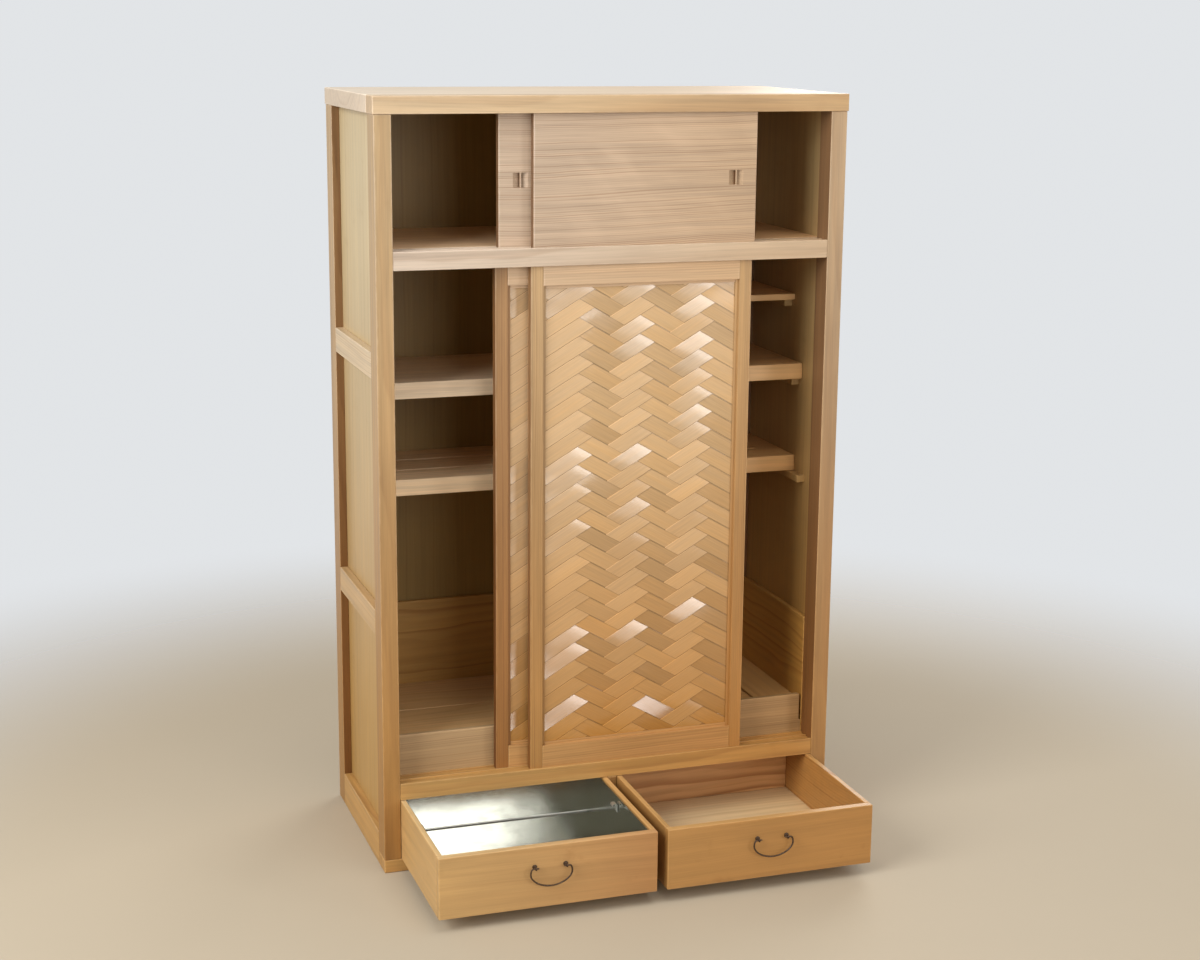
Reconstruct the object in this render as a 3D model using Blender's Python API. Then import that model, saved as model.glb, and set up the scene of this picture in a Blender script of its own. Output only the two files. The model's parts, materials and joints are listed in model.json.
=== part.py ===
"""Free-standing tea-preparation cabinet, as an assembly of separate boards.

Metres, +Z up. The front faces -Y and +X is to the right. The origin lies on the floor, under the
middle of the front base rail. The rest pose is the open one: the doors are slid towards the middle
and both drawers are pulled out.
"""

import math

import bmesh
import bpy
from mathutils import Vector

# Overall size of the carcass
WIDTH = 0.909
DEPTH = 0.420
HEIGHT = 1.450

# Fits
SEAT = 0.0003  # gap at a face where two fixed pieces meet
RUN = 0.0006  # clearance on each side of a sliding door in its track
DRAWER_RUN = 0.001  # clearance on each side of a drawer and above it
EDGE = 0.001  # softened edge of a board

# Frame
POST_WIDTH = 0.032
POST_DEPTH = 0.050
RAIL_DEPTH = 0.050
TENON_LENGTH = 0.012
TENON_SHOULDER = 0.011
TOP_THICK = 0.032
TOP_OVERHANG = 0.002
BASE_RAIL_HEIGHT = 0.025
BASE_BOARD_THICK = 0.012
BASE_LEDGE = 0.010

# Sides and back
SIDE_RECESS = 0.016
SIDE_PANEL_THICK = 0.008
SIDE_RAIL_HEIGHT = 0.065
BATTEN_HEIGHT = 0.048
BATTEN_TENON_SHOULDER = 0.004
UPPER_BATTEN_LEVEL = 0.966
LOWER_BATTEN_LEVEL = 0.481
BACK_RECESS = 0.012
BACK_PANEL_THICK = 0.008
PANEL_GROOVE = 0.006

# Rails and door tracks
MIDDLE_RAIL_TOP = 1.177
MIDDLE_RAIL_HEIGHT = 0.034
MIDDLE_SHELF_THICK = 0.014
SILL_TOP = 0.175
SILL_HEIGHT = 0.032
TRACK_LIP = 0.006
TRACK_BAR = 0.003
HEAD_GROOVE = 0.010
HEAD_HOLD = 0.007  # how far a door reaches up into its head groove
SILL_GROOVE = 0.003

# Doors
DOOR_THICK = 0.017
DOOR_OVERLAP = 0.026
PULL_CENTRE = 0.041  # from the door's outer edge
PULL_BAR = 0.003  # upright bar that a fingertip hooks on, between two hollows
PULL_HOLLOW = 0.0127
PULL_HEIGHT = 0.027
PULL_DEPTH = 0.007
STILE_WIDTH = 0.024
DOOR_TOP_RAIL = 0.043
DOOR_BOTTOM_RAIL = 0.046
BEAD_WIDTH = 0.006  # step round the inside of a framed door
BEAD_SETBACK = 0.005
WEAVE_THICK = 0.006
WEAVE_GROOVE = 0.006
WEAVE_SETBACK = 0.0075

# Where the doors stand, as the distance slid from closed
UPPER_LEFT_SLID = 0.202
UPPER_RIGHT_SLID = 0.147
LOWER_LEFT_SLID = 0.195
LOWER_RIGHT_SLID = 0.152

# Inside the lower compartment
FLOOR_THICK = 0.012
RISER_THICK = 0.012
RISER_TOP = 0.253
RISER_NOTCH_WIDTH = 0.004
RISER_NOTCH_HEIGHT = 0.055
SPLASH_THICK = 0.009
SPLASH_TOP = 0.415
COVER_TOP = 0.240
COVER_THICK = 0.012
COVER_GAP = 0.005
COVER_RIGHT_WIDTH = 0.085
COVER_SEAM = 0.002
BEARER_THICK = 0.018
UPPER_SHELF_TOP = 0.920
UPPER_SHELF_SETBACK = 0.115
LOWER_SHELF_TOP = 0.729
LOWER_SHELF_SETBACK = 0.140
SHELF_THICK = 0.031
SHELF_SLOT = 0.008
SHELF_SLOT_END = 0.050
CORNER_SHELF_TOP = 1.053
CORNER_SHELF_THICK = 0.012
CORNER_SHELF_SETBACK = 0.160
CORNER_SHELF_LENGTH = 0.400
CLEAT_WIDTH = 0.016
CLEAT_HEIGHT = 0.014
UPPER_CLEAT_SETBACK = 0.130
LOWER_CLEAT_SETBACK = 0.090
CORNER_CLEAT_SETBACK = 0.175

# Drawers
DIVIDER_THICK = 0.018
DRAWER_LENGTH = 0.388
DRAWER_OUT = 0.285
DRAWER_FRONT_THICK = 0.015
DRAWER_SIDE_THICK = 0.010
DRAWER_BACK_THICK = 0.010
DRAWER_BOTTOM_THICK = 0.006
DRAWER_BOTTOM_RISE = 0.006
DRAWER_GROOVE = 0.004
LINER_SHEET = 0.001
LINER_DROP = 0.003

# Handles
HANDLE_LEVEL = 0.038  # below the drawer's top edge
EYE_SPACING = 0.058
EYE_STANDOFF = 0.009
EYE_STEM_RADIUS = 0.0024
EYE_HEAD_RADIUS = 0.0042
EYE_HOLE_RADIUS = 0.0019
ROSETTE_RADIUS = 0.0065
ROSETTE_THICK = 0.0012
BAIL_RADIUS = 0.0016
BAIL_WIDTH = 0.078
BAIL_DROP = 0.035
BAIL_PIN_REACH = 0.0055  # straight wire on each side of an eye's middle

# Places worked out from the sizes above
SIDES = ("left", "right")
LEFT = -WIDTH / 2
FRONT = -POST_DEPTH / 2
BACK = FRONT + DEPTH
POST_IN = LEFT + POST_WIDTH
POST_BACK = FRONT + POST_DEPTH
REAR_POST_FRONT = BACK - POST_DEPTH
TOP_UNDER = HEIGHT - TOP_THICK
RAIL_BACK = FRONT + RAIL_DEPTH
PANEL_OUT = LEFT + SIDE_RECESS
PANEL_IN = PANEL_OUT + SIDE_PANEL_THICK
BACK_PANEL_BACK = BACK - BACK_RECESS
BACK_PANEL_FRONT = BACK_PANEL_BACK - BACK_PANEL_THICK
MIDDLE_RAIL_UNDER = MIDDLE_RAIL_TOP - MIDDLE_RAIL_HEIGHT
SILL_UNDER = SILL_TOP - SILL_HEIGHT
BACK_OF_FRONT_RAILS = max(POST_BACK, RAIL_BACK)
FLOOR_TOP = SILL_UNDER + FLOOR_THICK
SPLASH_IN = PANEL_IN + SEAT + SPLASH_THICK
SPLASH_FRONT = BACK_PANEL_FRONT - SEAT - SPLASH_THICK
RISER_BACK = BACK_OF_FRONT_RAILS + SEAT + RISER_THICK
TRACK_WIDTH = DOOR_THICK + 2 * RUN
FRONT_TRACK = FRONT + TRACK_LIP
REAR_TRACK = FRONT_TRACK + TRACK_WIDTH + TRACK_BAR
OPENING = WIDTH - 2 * POST_WIDTH
DOOR_WIDTH = (OPENING + DOOR_OVERLAP) / 2 - RUN
DRAWER_TOP = SILL_UNDER - DRAWER_RUN
DRAWER_UNDER = BASE_RAIL_HEIGHT + SEAT
BAY_OUT = POST_IN
BAY_IN = -DIVIDER_THICK / 2
FAR = 0.05  # how far a cutter runs past the piece it cuts


def srgb(red, green, blue):
    """Turn 0-255 screen colours into the linear values that a shader takes."""
    linear = []
    for value in (red, green, blue):
        share = value / 255
        linear.append(share / 12.92 if share <= 0.04045 else ((share + 0.055) / 1.055) ** 2.4)
    return (*linear, 1.0)


# Colour, roughness and metallic value of each finish
FINISHES = {
    "pale_cedar": (srgb(212, 180, 142), 0.45, 0.0),
    "warm_cedar": (srgb(198, 158, 108), 0.45, 0.0),
    "dark_cedar": (srgb(140, 98, 62), 0.55, 0.0),
    "woven_cedar": (srgb(205, 162, 108), 0.35, 0.0),
    "tinned_sheet": (srgb(205, 206, 200), 0.22, 1.0),
    "dark_iron": (srgb(66, 48, 34), 0.42, 0.9),
}


def clear_scene():
    """Remove whatever the scene holds."""
    for old in list(bpy.data.objects):
        bpy.data.objects.remove(old, do_unlink=True)


def mesh_object(name, mesh):
    """Link a mesh into the scene as an object."""
    piece = bpy.data.objects.new(name, mesh)
    bpy.context.scene.collection.objects.link(piece)
    return piece


def object_from_bmesh(name, shape):
    """Turn a bmesh into a linked object and free it."""
    bmesh.ops.recalc_face_normals(shape, faces=shape.faces)
    mesh = bpy.data.meshes.new(name)
    shape.to_mesh(mesh)
    shape.free()
    return mesh_object(name, mesh)


def box(name, low, high):
    """A plain box between two corners."""
    shape = bmesh.new()
    bmesh.ops.create_cube(shape, size=1.0)
    low = Vector(low)
    high = Vector(high)
    bmesh.ops.scale(shape, vec=high - low, verts=shape.verts)
    bmesh.ops.translate(shape, vec=(low + high) / 2, verts=shape.verts)
    return object_from_bmesh(name, shape)


def swept_bar(name, points, travel):
    """A straight bar: a flat outline of points, swept along a vector."""
    shape = bmesh.new()
    section = shape.faces.new([shape.verts.new(point) for point in points])
    swept = bmesh.ops.extrude_face_region(shape, geom=[section])
    moved = [item for item in swept["geom"] if isinstance(item, bmesh.types.BMVert)]
    bmesh.ops.translate(shape, vec=travel, verts=moved)
    return object_from_bmesh(name, shape)


def bar_along_x(name, outline, start, end):
    """A straight bar along X whose section is an outline of (y, z) points."""
    return swept_bar(name, [(start, y, z) for y, z in outline], (end - start, 0, 0))


def bar_along_z(name, outline, start, end):
    """An upright bar whose section is an outline of (x, y) points."""
    return swept_bar(name, [(x, y, start) for x, y in outline], (0, 0, end - start))


def combine(piece, tool, operation):
    """Cut a tool out of a piece, or add it to the piece, and use the tool up."""
    modifier = piece.modifiers.new("combine", "BOOLEAN")
    modifier.operation = operation
    modifier.solver = "EXACT"
    modifier.object = tool
    bpy.context.view_layer.objects.active = piece
    bpy.ops.object.modifier_apply(modifier=modifier.name)
    bpy.data.objects.remove(tool, do_unlink=True)


def cut_box(piece, low, high):
    """Cut a box out of a piece."""
    combine(piece, box("cutter", low, high), "DIFFERENCE")


def add_box(piece, low, high):
    """Add a box to a piece."""
    combine(piece, box("addition", low, high), "UNION")


def grown(low, high, margin):
    """The same box, larger by a margin on every side."""
    return Vector(low) - Vector([margin] * 3), Vector(high) + Vector([margin] * 3)


def on_side(side, low, high):
    """Mirror a box that is drawn on the left to the side that is asked for."""
    if side == "left":
        return low, high
    return (-high[0], low[1], low[2]), (-low[0], high[1], high[2])


def join_tenon(rail, post, low, high):
    """Give a rail a tenon and its post the mortise for it."""
    add_box(rail, low, high)
    cut_box(post, *grown(low, high, SEAT))


def soften(piece, width):
    """Take the sharp outer edges off a piece."""
    shape = bmesh.new()
    shape.from_mesh(piece.data)
    bmesh.ops.dissolve_limit(shape, angle_limit=0.001, verts=shape.verts, edges=shape.edges)
    sharp = [edge for edge in shape.edges if edge.calc_face_angle_signed(0) > math.radians(30)]
    bmesh.ops.bevel(shape, geom=sharp, offset=width, segments=1, affect="EDGES", clamp_overlap=True)
    bmesh.ops.recalc_face_normals(shape, faces=shape.faces)
    shape.to_mesh(piece.data)
    shape.free()


def finish(piece, finish_name, parent=None, edge=EDGE):
    """Soften a piece, give it its own material and put its origin in its middle."""
    if edge:
        soften(piece, edge)
    colour, roughness, metallic = FINISHES[finish_name]
    material = bpy.data.materials.new(piece.name + "_" + finish_name)
    material.use_nodes = True
    shader = material.node_tree.nodes["Principled BSDF"]
    shader.inputs["Base Color"].default_value = colour
    shader.inputs["Roughness"].default_value = roughness
    shader.inputs["Metallic"].default_value = metallic
    material.diffuse_color = colour
    piece.data.materials.clear()
    piece.data.materials.append(material)
    corners = [Vector(corner) for corner in piece.bound_box]
    set_origin(piece, sum(corners, Vector()) / 8, parent)
    return piece


def set_origin(piece, origin, parent=None):
    """Move a piece's origin without moving the piece, and hang it on its parent."""
    shift = Vector(origin) - piece.location
    for vertex in piece.data.vertices:
        vertex.co -= shift
    piece.location = origin
    if parent:
        piece.parent = parent
        piece.location = Vector(origin) - parent.location


def joint_empty(name, place):
    """An empty that carries the pieces of one moving body."""
    empty = bpy.data.objects.new(name, None)
    empty.location = place
    empty.empty_display_size = 0.05
    bpy.context.scene.collection.objects.link(empty)
    return empty


def board(name, low, high, finish_name, parent=None):
    """A finished plain board."""
    return finish(box(name, low, high), finish_name, parent)


def build_posts():
    """The four posts, before their mortises are cut. They are finished by finish_posts."""
    posts = {}
    for side in SIDES:
        low = (LEFT, FRONT, BASE_RAIL_HEIGHT + SEAT)
        high = (POST_IN, POST_BACK, TOP_UNDER - SEAT)
        posts["front", side] = box("post_front_" + side, *on_side(side, low, high))
        low = (LEFT, REAR_POST_FRONT, 0)
        high = (POST_IN, BACK, TOP_UNDER - SEAT)
        posts["rear", side] = box("post_rear_" + side, *on_side(side, low, high))
    return posts


def cut_panel_grooves(posts):
    """Grooves in the posts that hold the side panels and the back panel."""
    for side in SIDES:
        low = (PANEL_OUT - SEAT, POST_BACK - PANEL_GROOVE, SIDE_RAIL_HEIGHT)
        high = (PANEL_IN + SEAT, REAR_POST_FRONT + PANEL_GROOVE, TOP_UNDER + FAR)
        for place in ("front", "rear"):
            cut_box(posts[place, side], *on_side(side, low, high))
        low = (POST_IN - PANEL_GROOVE, BACK_PANEL_FRONT - SEAT, BASE_RAIL_HEIGHT)
        high = (POST_IN + FAR, BACK_PANEL_BACK + SEAT, TOP_UNDER + FAR)
        cut_box(posts["rear", side], *on_side(side, low, high))


def finish_posts(posts):
    """Soften and colour the posts once all their joints are cut."""
    for post in posts.values():
        finish(post, "pale_cedar")


def build_base(posts):
    """The front base rail, the bottom side rails and the base board that carries the drawers."""
    rail = box("base_front_rail", (LEFT, FRONT, 0), (-LEFT, POST_BACK, BASE_RAIL_HEIGHT))
    for side in SIDES:
        low = (LEFT + TENON_SHOULDER, FRONT + TENON_SHOULDER, BASE_RAIL_HEIGHT - TENON_LENGTH)
        high = (POST_IN - TENON_SHOULDER, POST_BACK - TENON_SHOULDER, BASE_RAIL_HEIGHT + TENON_LENGTH)
        join_tenon(posts["front", side], rail, *on_side(side, low, high))
    finish(rail, "warm_cedar")

    base_under = BASE_RAIL_HEIGHT - BASE_BOARD_THICK
    for side in SIDES:
        low = (LEFT, POST_BACK + SEAT, 0)
        high = (POST_IN, REAR_POST_FRONT - SEAT, SIDE_RAIL_HEIGHT - SEAT)
        side_rail = box("side_bottom_rail_" + side, *on_side(side, low, high))
        low = (POST_IN - SEAT, POST_BACK + SEAT, 0)
        high = (POST_IN + BASE_LEDGE, REAR_POST_FRONT - SEAT, base_under - SEAT)
        add_box(side_rail, *on_side(side, low, high))
        tenon_x = (LEFT + TENON_SHOULDER, POST_IN - TENON_SHOULDER)
        tenon_z = (BASE_RAIL_HEIGHT + TENON_SHOULDER, SIDE_RAIL_HEIGHT - TENON_SHOULDER)
        add_end_tenons(side_rail, posts, side, tenon_x, tenon_z)
        finish(side_rail, "warm_cedar")

    low = (POST_IN + SEAT, POST_BACK + SEAT, base_under)
    high = (-POST_IN - SEAT, BACK_PANEL_BACK, BASE_RAIL_HEIGHT)
    board("base_board", low, high, "dark_cedar")


def add_end_tenons(rail, posts, side, x_range, z_range):
    """Tenons at both ends of a side rail, with their mortises in the front and rear posts."""
    front_end = (POST_BACK - TENON_LENGTH, POST_BACK + TENON_LENGTH)
    rear_end = (REAR_POST_FRONT - TENON_LENGTH, REAR_POST_FRONT + TENON_LENGTH)
    for place, ends in (("front", front_end), ("rear", rear_end)):
        low = (x_range[0], ends[0], z_range[0])
        high = (x_range[1], ends[1], z_range[1])
        join_tenon(rail, posts[place, side], *on_side(side, low, high))


def build_sides(posts):
    """Battens on each side, and the side panels with their shelf cleats."""
    levels = (("upper", UPPER_BATTEN_LEVEL), ("lower", LOWER_BATTEN_LEVEL))
    for side in SIDES:
        for level_name, level in levels:
            under = level - BATTEN_HEIGHT / 2
            over = level + BATTEN_HEIGHT / 2
            low = (LEFT, POST_BACK + SEAT, under)
            high = (PANEL_OUT - SEAT, REAR_POST_FRONT - SEAT, over)
            batten = box(f"side_{level_name}_batten_{side}", *on_side(side, low, high))
            tenon_x = (LEFT + BATTEN_TENON_SHOULDER, PANEL_OUT - BATTEN_TENON_SHOULDER)
            tenon_z = (under + TENON_SHOULDER, over - TENON_SHOULDER)
            add_end_tenons(batten, posts, side, tenon_x, tenon_z)
            finish(batten, "pale_cedar")
        build_side_panel(side)


def build_side_panel(side):
    """One side panel, with the cleats that carry the shelves on its inner face."""
    low = (PANEL_OUT, POST_BACK - PANEL_GROOVE + SEAT, SIDE_RAIL_HEIGHT)
    high = (PANEL_IN, REAR_POST_FRONT + PANEL_GROOVE - SEAT, TOP_UNDER - SEAT)
    panel = box("side_panel_" + side, *on_side(side, low, high))
    cleats = [
        (UPPER_SHELF_TOP - SHELF_THICK, UPPER_CLEAT_SETBACK),
        (LOWER_SHELF_TOP - SHELF_THICK, LOWER_CLEAT_SETBACK),
    ]
    if side == "right":
        cleats.append((CORNER_SHELF_TOP - CORNER_SHELF_THICK, CORNER_CLEAT_SETBACK))
    for shelf_under, setback in cleats:
        low = (PANEL_IN - SEAT, FRONT + setback, shelf_under - SEAT - CLEAT_HEIGHT)
        high = (PANEL_IN + CLEAT_WIDTH, REAR_POST_FRONT - SEAT, shelf_under - SEAT)
        add_box(panel, *on_side(side, low, high))
    finish(panel, "pale_cedar")


def build_back():
    """The back panel, held in grooves in the rear posts."""
    low = (POST_IN - PANEL_GROOVE + SEAT, BACK_PANEL_FRONT, BASE_RAIL_HEIGHT + SEAT)
    high = (-POST_IN + PANEL_GROOVE - SEAT, BACK_PANEL_BACK, TOP_UNDER - SEAT)
    board("back_panel", low, high, "dark_cedar")


def build_top():
    """The front rail of the top, with the head tracks of the upper doors, and the top board."""
    low = (LEFT - TOP_OVERHANG, FRONT - TOP_OVERHANG, TOP_UNDER)
    high = (-LEFT + TOP_OVERHANG, RAIL_BACK, HEIGHT)
    rail = box("top_front_rail", low, high)
    for track in (FRONT_TRACK, REAR_TRACK):
        low = (POST_IN, track, TOP_UNDER - FAR)
        high = (-POST_IN, track + TRACK_WIDTH, TOP_UNDER + HEAD_GROOVE)
        cut_box(rail, low, high)
    finish(rail, "pale_cedar")
    low = (LEFT - TOP_OVERHANG, RAIL_BACK + SEAT, TOP_UNDER)
    high = (-LEFT + TOP_OVERHANG, BACK, HEIGHT)
    board("top_board", low, high, "pale_cedar")


def track_outline(under, over, head_tracks):
    """Section of a rail with two sill grooves on top and, where asked, two head grooves below."""
    sill = over - SILL_GROOVE
    head = under + HEAD_GROOVE
    outline = [(FRONT, over)]
    for track in (FRONT_TRACK, REAR_TRACK):
        end = track + TRACK_WIDTH
        outline += [(track, over), (track, sill), (end, sill), (end, over)]
    outline += [(RAIL_BACK, over), (RAIL_BACK, under)]
    if head_tracks:
        for track in (REAR_TRACK, FRONT_TRACK):
            end = track + TRACK_WIDTH
            outline += [(end, under), (end, head), (track, head), (track, under)]
    outline.append((FRONT, under))
    return outline


def build_track_rails(posts):
    """The middle rail and the sill rail, tenoned into the front posts."""
    rails = (
        ("middle_rail", MIDDLE_RAIL_UNDER, MIDDLE_RAIL_TOP, True),
        ("sill_rail", SILL_UNDER, SILL_TOP, False),
    )
    for name, under, over, head_tracks in rails:
        outline = track_outline(under, over, head_tracks)
        rail = bar_along_x(name, outline, POST_IN + SEAT, -POST_IN - SEAT)
        for side in SIDES:
            low = (POST_IN - TENON_LENGTH, FRONT + TENON_SHOULDER, under + TENON_SHOULDER)
            high = (POST_IN + TENON_LENGTH, RAIL_BACK - TENON_SHOULDER, over - TENON_SHOULDER)
            join_tenon(rail, posts["front", side], *on_side(side, low, high))
        finish(rail, "pale_cedar")


def inner_board(name, setback_y, under, over, left_x=PANEL_IN + SEAT):
    """A board between the side panels and the back panel, notched round the rear posts."""
    piece = box(name, (left_x, setback_y, under), (-PANEL_IN - SEAT, BACK_PANEL_FRONT - SEAT, over))
    for side in SIDES:
        low = (LEFT, REAR_POST_FRONT - SEAT, under - FAR)
        high = (POST_IN + SEAT, BACK, over + FAR)
        if side == "right" or left_x < POST_IN:
            cut_box(piece, *on_side(side, low, high))
    return piece


def build_shelves():
    """The middle shelf, the two full shelves and the small corner shelf."""
    over = MIDDLE_RAIL_TOP
    middle = inner_board("middle_shelf", BACK_OF_FRONT_RAILS + SEAT, over - MIDDLE_SHELF_THICK, over)
    finish(middle, "dark_cedar")

    over = UPPER_SHELF_TOP
    finish(inner_board("shelf_upper", FRONT + UPPER_SHELF_SETBACK, over - SHELF_THICK, over), "pale_cedar")

    over = LOWER_SHELF_TOP
    start = FRONT + LOWER_SHELF_SETBACK
    lower = inner_board("shelf_lower", start, over - SHELF_THICK, over)
    plank = (BACK_PANEL_FRONT - start - 2 * SHELF_SLOT) / 3
    for count in (1, 2):
        slot = start + count * plank + (count - 1) * SHELF_SLOT
        low = (PANEL_IN + SHELF_SLOT_END, slot, over - SHELF_THICK - FAR)
        high = (-PANEL_IN - SHELF_SLOT_END, slot + SHELF_SLOT, over + FAR)
        cut_box(lower, low, high)
    finish(lower, "pale_cedar")

    over = CORNER_SHELF_TOP
    under = over - CORNER_SHELF_THICK
    start = FRONT + CORNER_SHELF_SETBACK
    end_x = -PANEL_IN - CORNER_SHELF_LENGTH
    corner = inner_board("shelf_corner", start, under, over, end_x)
    upright_low = (end_x, start, UPPER_SHELF_TOP + SEAT)
    upright_high = (end_x + CORNER_SHELF_THICK, BACK_PANEL_FRONT - SEAT, under + SEAT)
    add_box(corner, upright_low, upright_high)
    finish(corner, "pale_cedar")


def build_floor():
    """The floor over the drawers, its bearers, the riser, the splash boards and the cover boards."""
    well_left = SPLASH_IN + SEAT
    well_right = -well_left
    well_front = RISER_BACK + SEAT
    well_back = SPLASH_FRONT - SEAT
    cover_under = COVER_TOP - COVER_THICK
    right_cover_x = well_right - COVER_RIGHT_WIDTH

    floor = inner_board("floor_board", BACK_OF_FRONT_RAILS + SEAT, SILL_UNDER, FLOOR_TOP)
    middle_bearer = right_cover_x - COVER_GAP / 2 - BEARER_THICK / 2
    for start in (well_left, middle_bearer, well_right - BEARER_THICK):
        low = (start, well_front, FLOOR_TOP - SEAT)
        high = (start + BEARER_THICK, well_back, cover_under - SEAT)
        add_box(floor, low, high)
    finish(floor, "dark_cedar")

    low = (well_left, BACK_OF_FRONT_RAILS + SEAT, FLOOR_TOP + SEAT)
    high = (well_right, RISER_BACK, RISER_TOP)
    riser = box("riser_board", low, high)
    low = (well_right - RISER_NOTCH_WIDTH, FRONT, RISER_TOP - RISER_NOTCH_HEIGHT)
    high = (well_right + FAR, BACK, RISER_TOP + FAR)
    cut_box(riser, low, high)
    finish(riser, "warm_cedar")

    for side in SIDES:
        low = (PANEL_IN + SEAT, BACK_OF_FRONT_RAILS + SEAT, FLOOR_TOP + SEAT)
        high = (SPLASH_IN, REAR_POST_FRONT - SEAT, SPLASH_TOP)
        board("splash_board_" + side, *on_side(side, low, high), "warm_cedar")
    low = (POST_IN + SEAT, SPLASH_FRONT, FLOOR_TOP + SEAT)
    high = (-POST_IN - SEAT, SPLASH_FRONT + SPLASH_THICK, SPLASH_TOP)
    board("splash_board_back", low, high, "warm_cedar")

    low = (well_left, well_front, cover_under)
    high = (right_cover_x - COVER_GAP, well_back, COVER_TOP)
    left_cover = box("cover_board_left", low, high)
    seam = (well_front + well_back) / 2
    low = (LEFT, seam - COVER_SEAM / 2, COVER_TOP - COVER_SEAM)
    high = (-LEFT, seam + COVER_SEAM / 2, COVER_TOP + FAR)
    cut_box(left_cover, low, high)
    finish(left_cover, "warm_cedar")
    low = (right_cover_x, well_front, cover_under)
    high = (well_right, well_back, COVER_TOP)
    board("cover_board_right", low, high, "warm_cedar")


def door_place(side, slid):
    """Left edge and front face of a door: the left door runs in the rear track."""
    if side == "left":
        return POST_IN + RUN + slid, REAR_TRACK + RUN
    return -POST_IN - RUN - DOOR_WIDTH - slid, FRONT_TRACK + RUN


def carve_pull(door, middle_x, face_y):
    """Carve two hollows that slope down to an upright bar between them."""
    pull_z = (MIDDLE_RAIL_TOP + TOP_UNDER - PULL_HEIGHT) / 2
    ahead_y = face_y - FAR * PULL_DEPTH / PULL_HOLLOW
    for turn in (-1, 1):
        bar_x = middle_x + turn * PULL_BAR / 2
        far_x = bar_x + turn * (PULL_HOLLOW + FAR)
        outline = ((bar_x, face_y + PULL_DEPTH), (far_x, ahead_y), (bar_x, ahead_y))
        cutter = bar_along_z("cutter", outline, pull_z, pull_z + PULL_HEIGHT)
        combine(door, cutter, "DIFFERENCE")


def build_upper_doors():
    """Two plain board doors with a carved finger pull near the outer edge."""
    slid = {"left": UPPER_LEFT_SLID, "right": UPPER_RIGHT_SLID}
    under = MIDDLE_RAIL_TOP - SILL_GROOVE + SEAT
    over = TOP_UNDER + HEAD_HOLD
    for side in SIDES:
        left_x, face_y = door_place(side, slid[side])
        low = (left_x, face_y, under)
        high = (left_x + DOOR_WIDTH, face_y + DOOR_THICK, over)
        door = box("upper_door_" + side, low, high)
        soften(door, EDGE)
        pull_x = left_x + PULL_CENTRE if side == "left" else left_x + DOOR_WIDTH - PULL_CENTRE
        carve_pull(door, pull_x, face_y)
        parent = joint_empty(f"upper_door_{side}_slide", (left_x, face_y, under))
        finish(door, "pale_cedar", parent, edge=0)


def build_lower_doors():
    """Two framed doors, each with a woven panel held in grooves in its stiles and rails."""
    slid = {"left": LOWER_LEFT_SLID, "right": LOWER_RIGHT_SLID}
    for side in SIDES:
        left_x, face_y = door_place(side, slid[side])
        build_lower_door("lower_door_" + side, left_x, face_y)


def build_lower_door(name, left_x, face_y):
    """One framed door, drawn from its left edge and its front face.

    Each stile and rail carries a bead, a step set back from its face, and the panel's groove is in it.
    """
    under = SILL_TOP - SILL_GROOVE + SEAT
    over = MIDDLE_RAIL_UNDER + HEAD_HOLD
    right_x = left_x + DOOR_WIDTH
    back_y = face_y + DOOR_THICK
    parent = joint_empty(name + "_slide", (left_x, face_y, under))
    stile_in = left_x + STILE_WIDTH
    far_stile_in = right_x - STILE_WIDTH
    rail_low = under + DOOR_BOTTOM_RAIL
    rail_high = over - DOOR_TOP_RAIL
    bead_y = face_y + BEAD_SETBACK
    bead_in = stile_in + BEAD_WIDTH
    far_bead_in = far_stile_in - BEAD_WIDTH
    panel_y = face_y + WEAVE_SETBACK

    hold = WEAVE_GROOVE - BEAD_WIDTH
    panel_low = Vector((stile_in - hold, panel_y, rail_low - hold))
    panel_high = Vector((far_stile_in + hold, panel_y + WEAVE_THICK, rail_high + hold))
    beads = {
        "stile_left": ((left_x, rail_low + SEAT), (bead_in, rail_high - SEAT)),
        "stile_right": ((far_bead_in, rail_low + SEAT), (right_x, rail_high - SEAT)),
        "rail_bottom": ((bead_in + SEAT, under), (far_bead_in - SEAT, rail_low + BEAD_WIDTH)),
        "rail_top": ((bead_in + SEAT, rail_high - BEAD_WIDTH), (far_bead_in - SEAT, over)),
    }
    frame = (
        ("stile_left", (left_x, under), (stile_in, over)),
        ("stile_right", (far_stile_in, under), (right_x, over)),
        ("rail_bottom", (stile_in + SEAT, under), (far_stile_in - SEAT, rail_low)),
        ("rail_top", (stile_in + SEAT, rail_high), (far_stile_in - SEAT, over)),
    )
    for part_name, start, end in frame:
        low = (start[0], face_y, start[1])
        high = (end[0], back_y, end[1])
        piece = box(f"{name}_{part_name}", low, high)
        start, end = beads[part_name]
        add_box(piece, (start[0], bead_y, start[1]), (end[0], back_y, end[1]))
        cut_box(piece, *grown(panel_low, panel_high, SEAT))
        finish(piece, "warm_cedar", parent)
    board(name + "_woven_panel", panel_low, panel_high, "woven_cedar", parent)


def build_drawers():
    """The divider between the bays and the two drawers."""
    low = (-DIVIDER_THICK / 2, FRONT, BASE_RAIL_HEIGHT + SEAT)
    high = (DIVIDER_THICK / 2, BACK_PANEL_FRONT - SEAT, SILL_UNDER - SEAT)
    board("drawer_divider", low, high, "warm_cedar")
    for side in SIDES:
        build_drawer(side)


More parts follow.
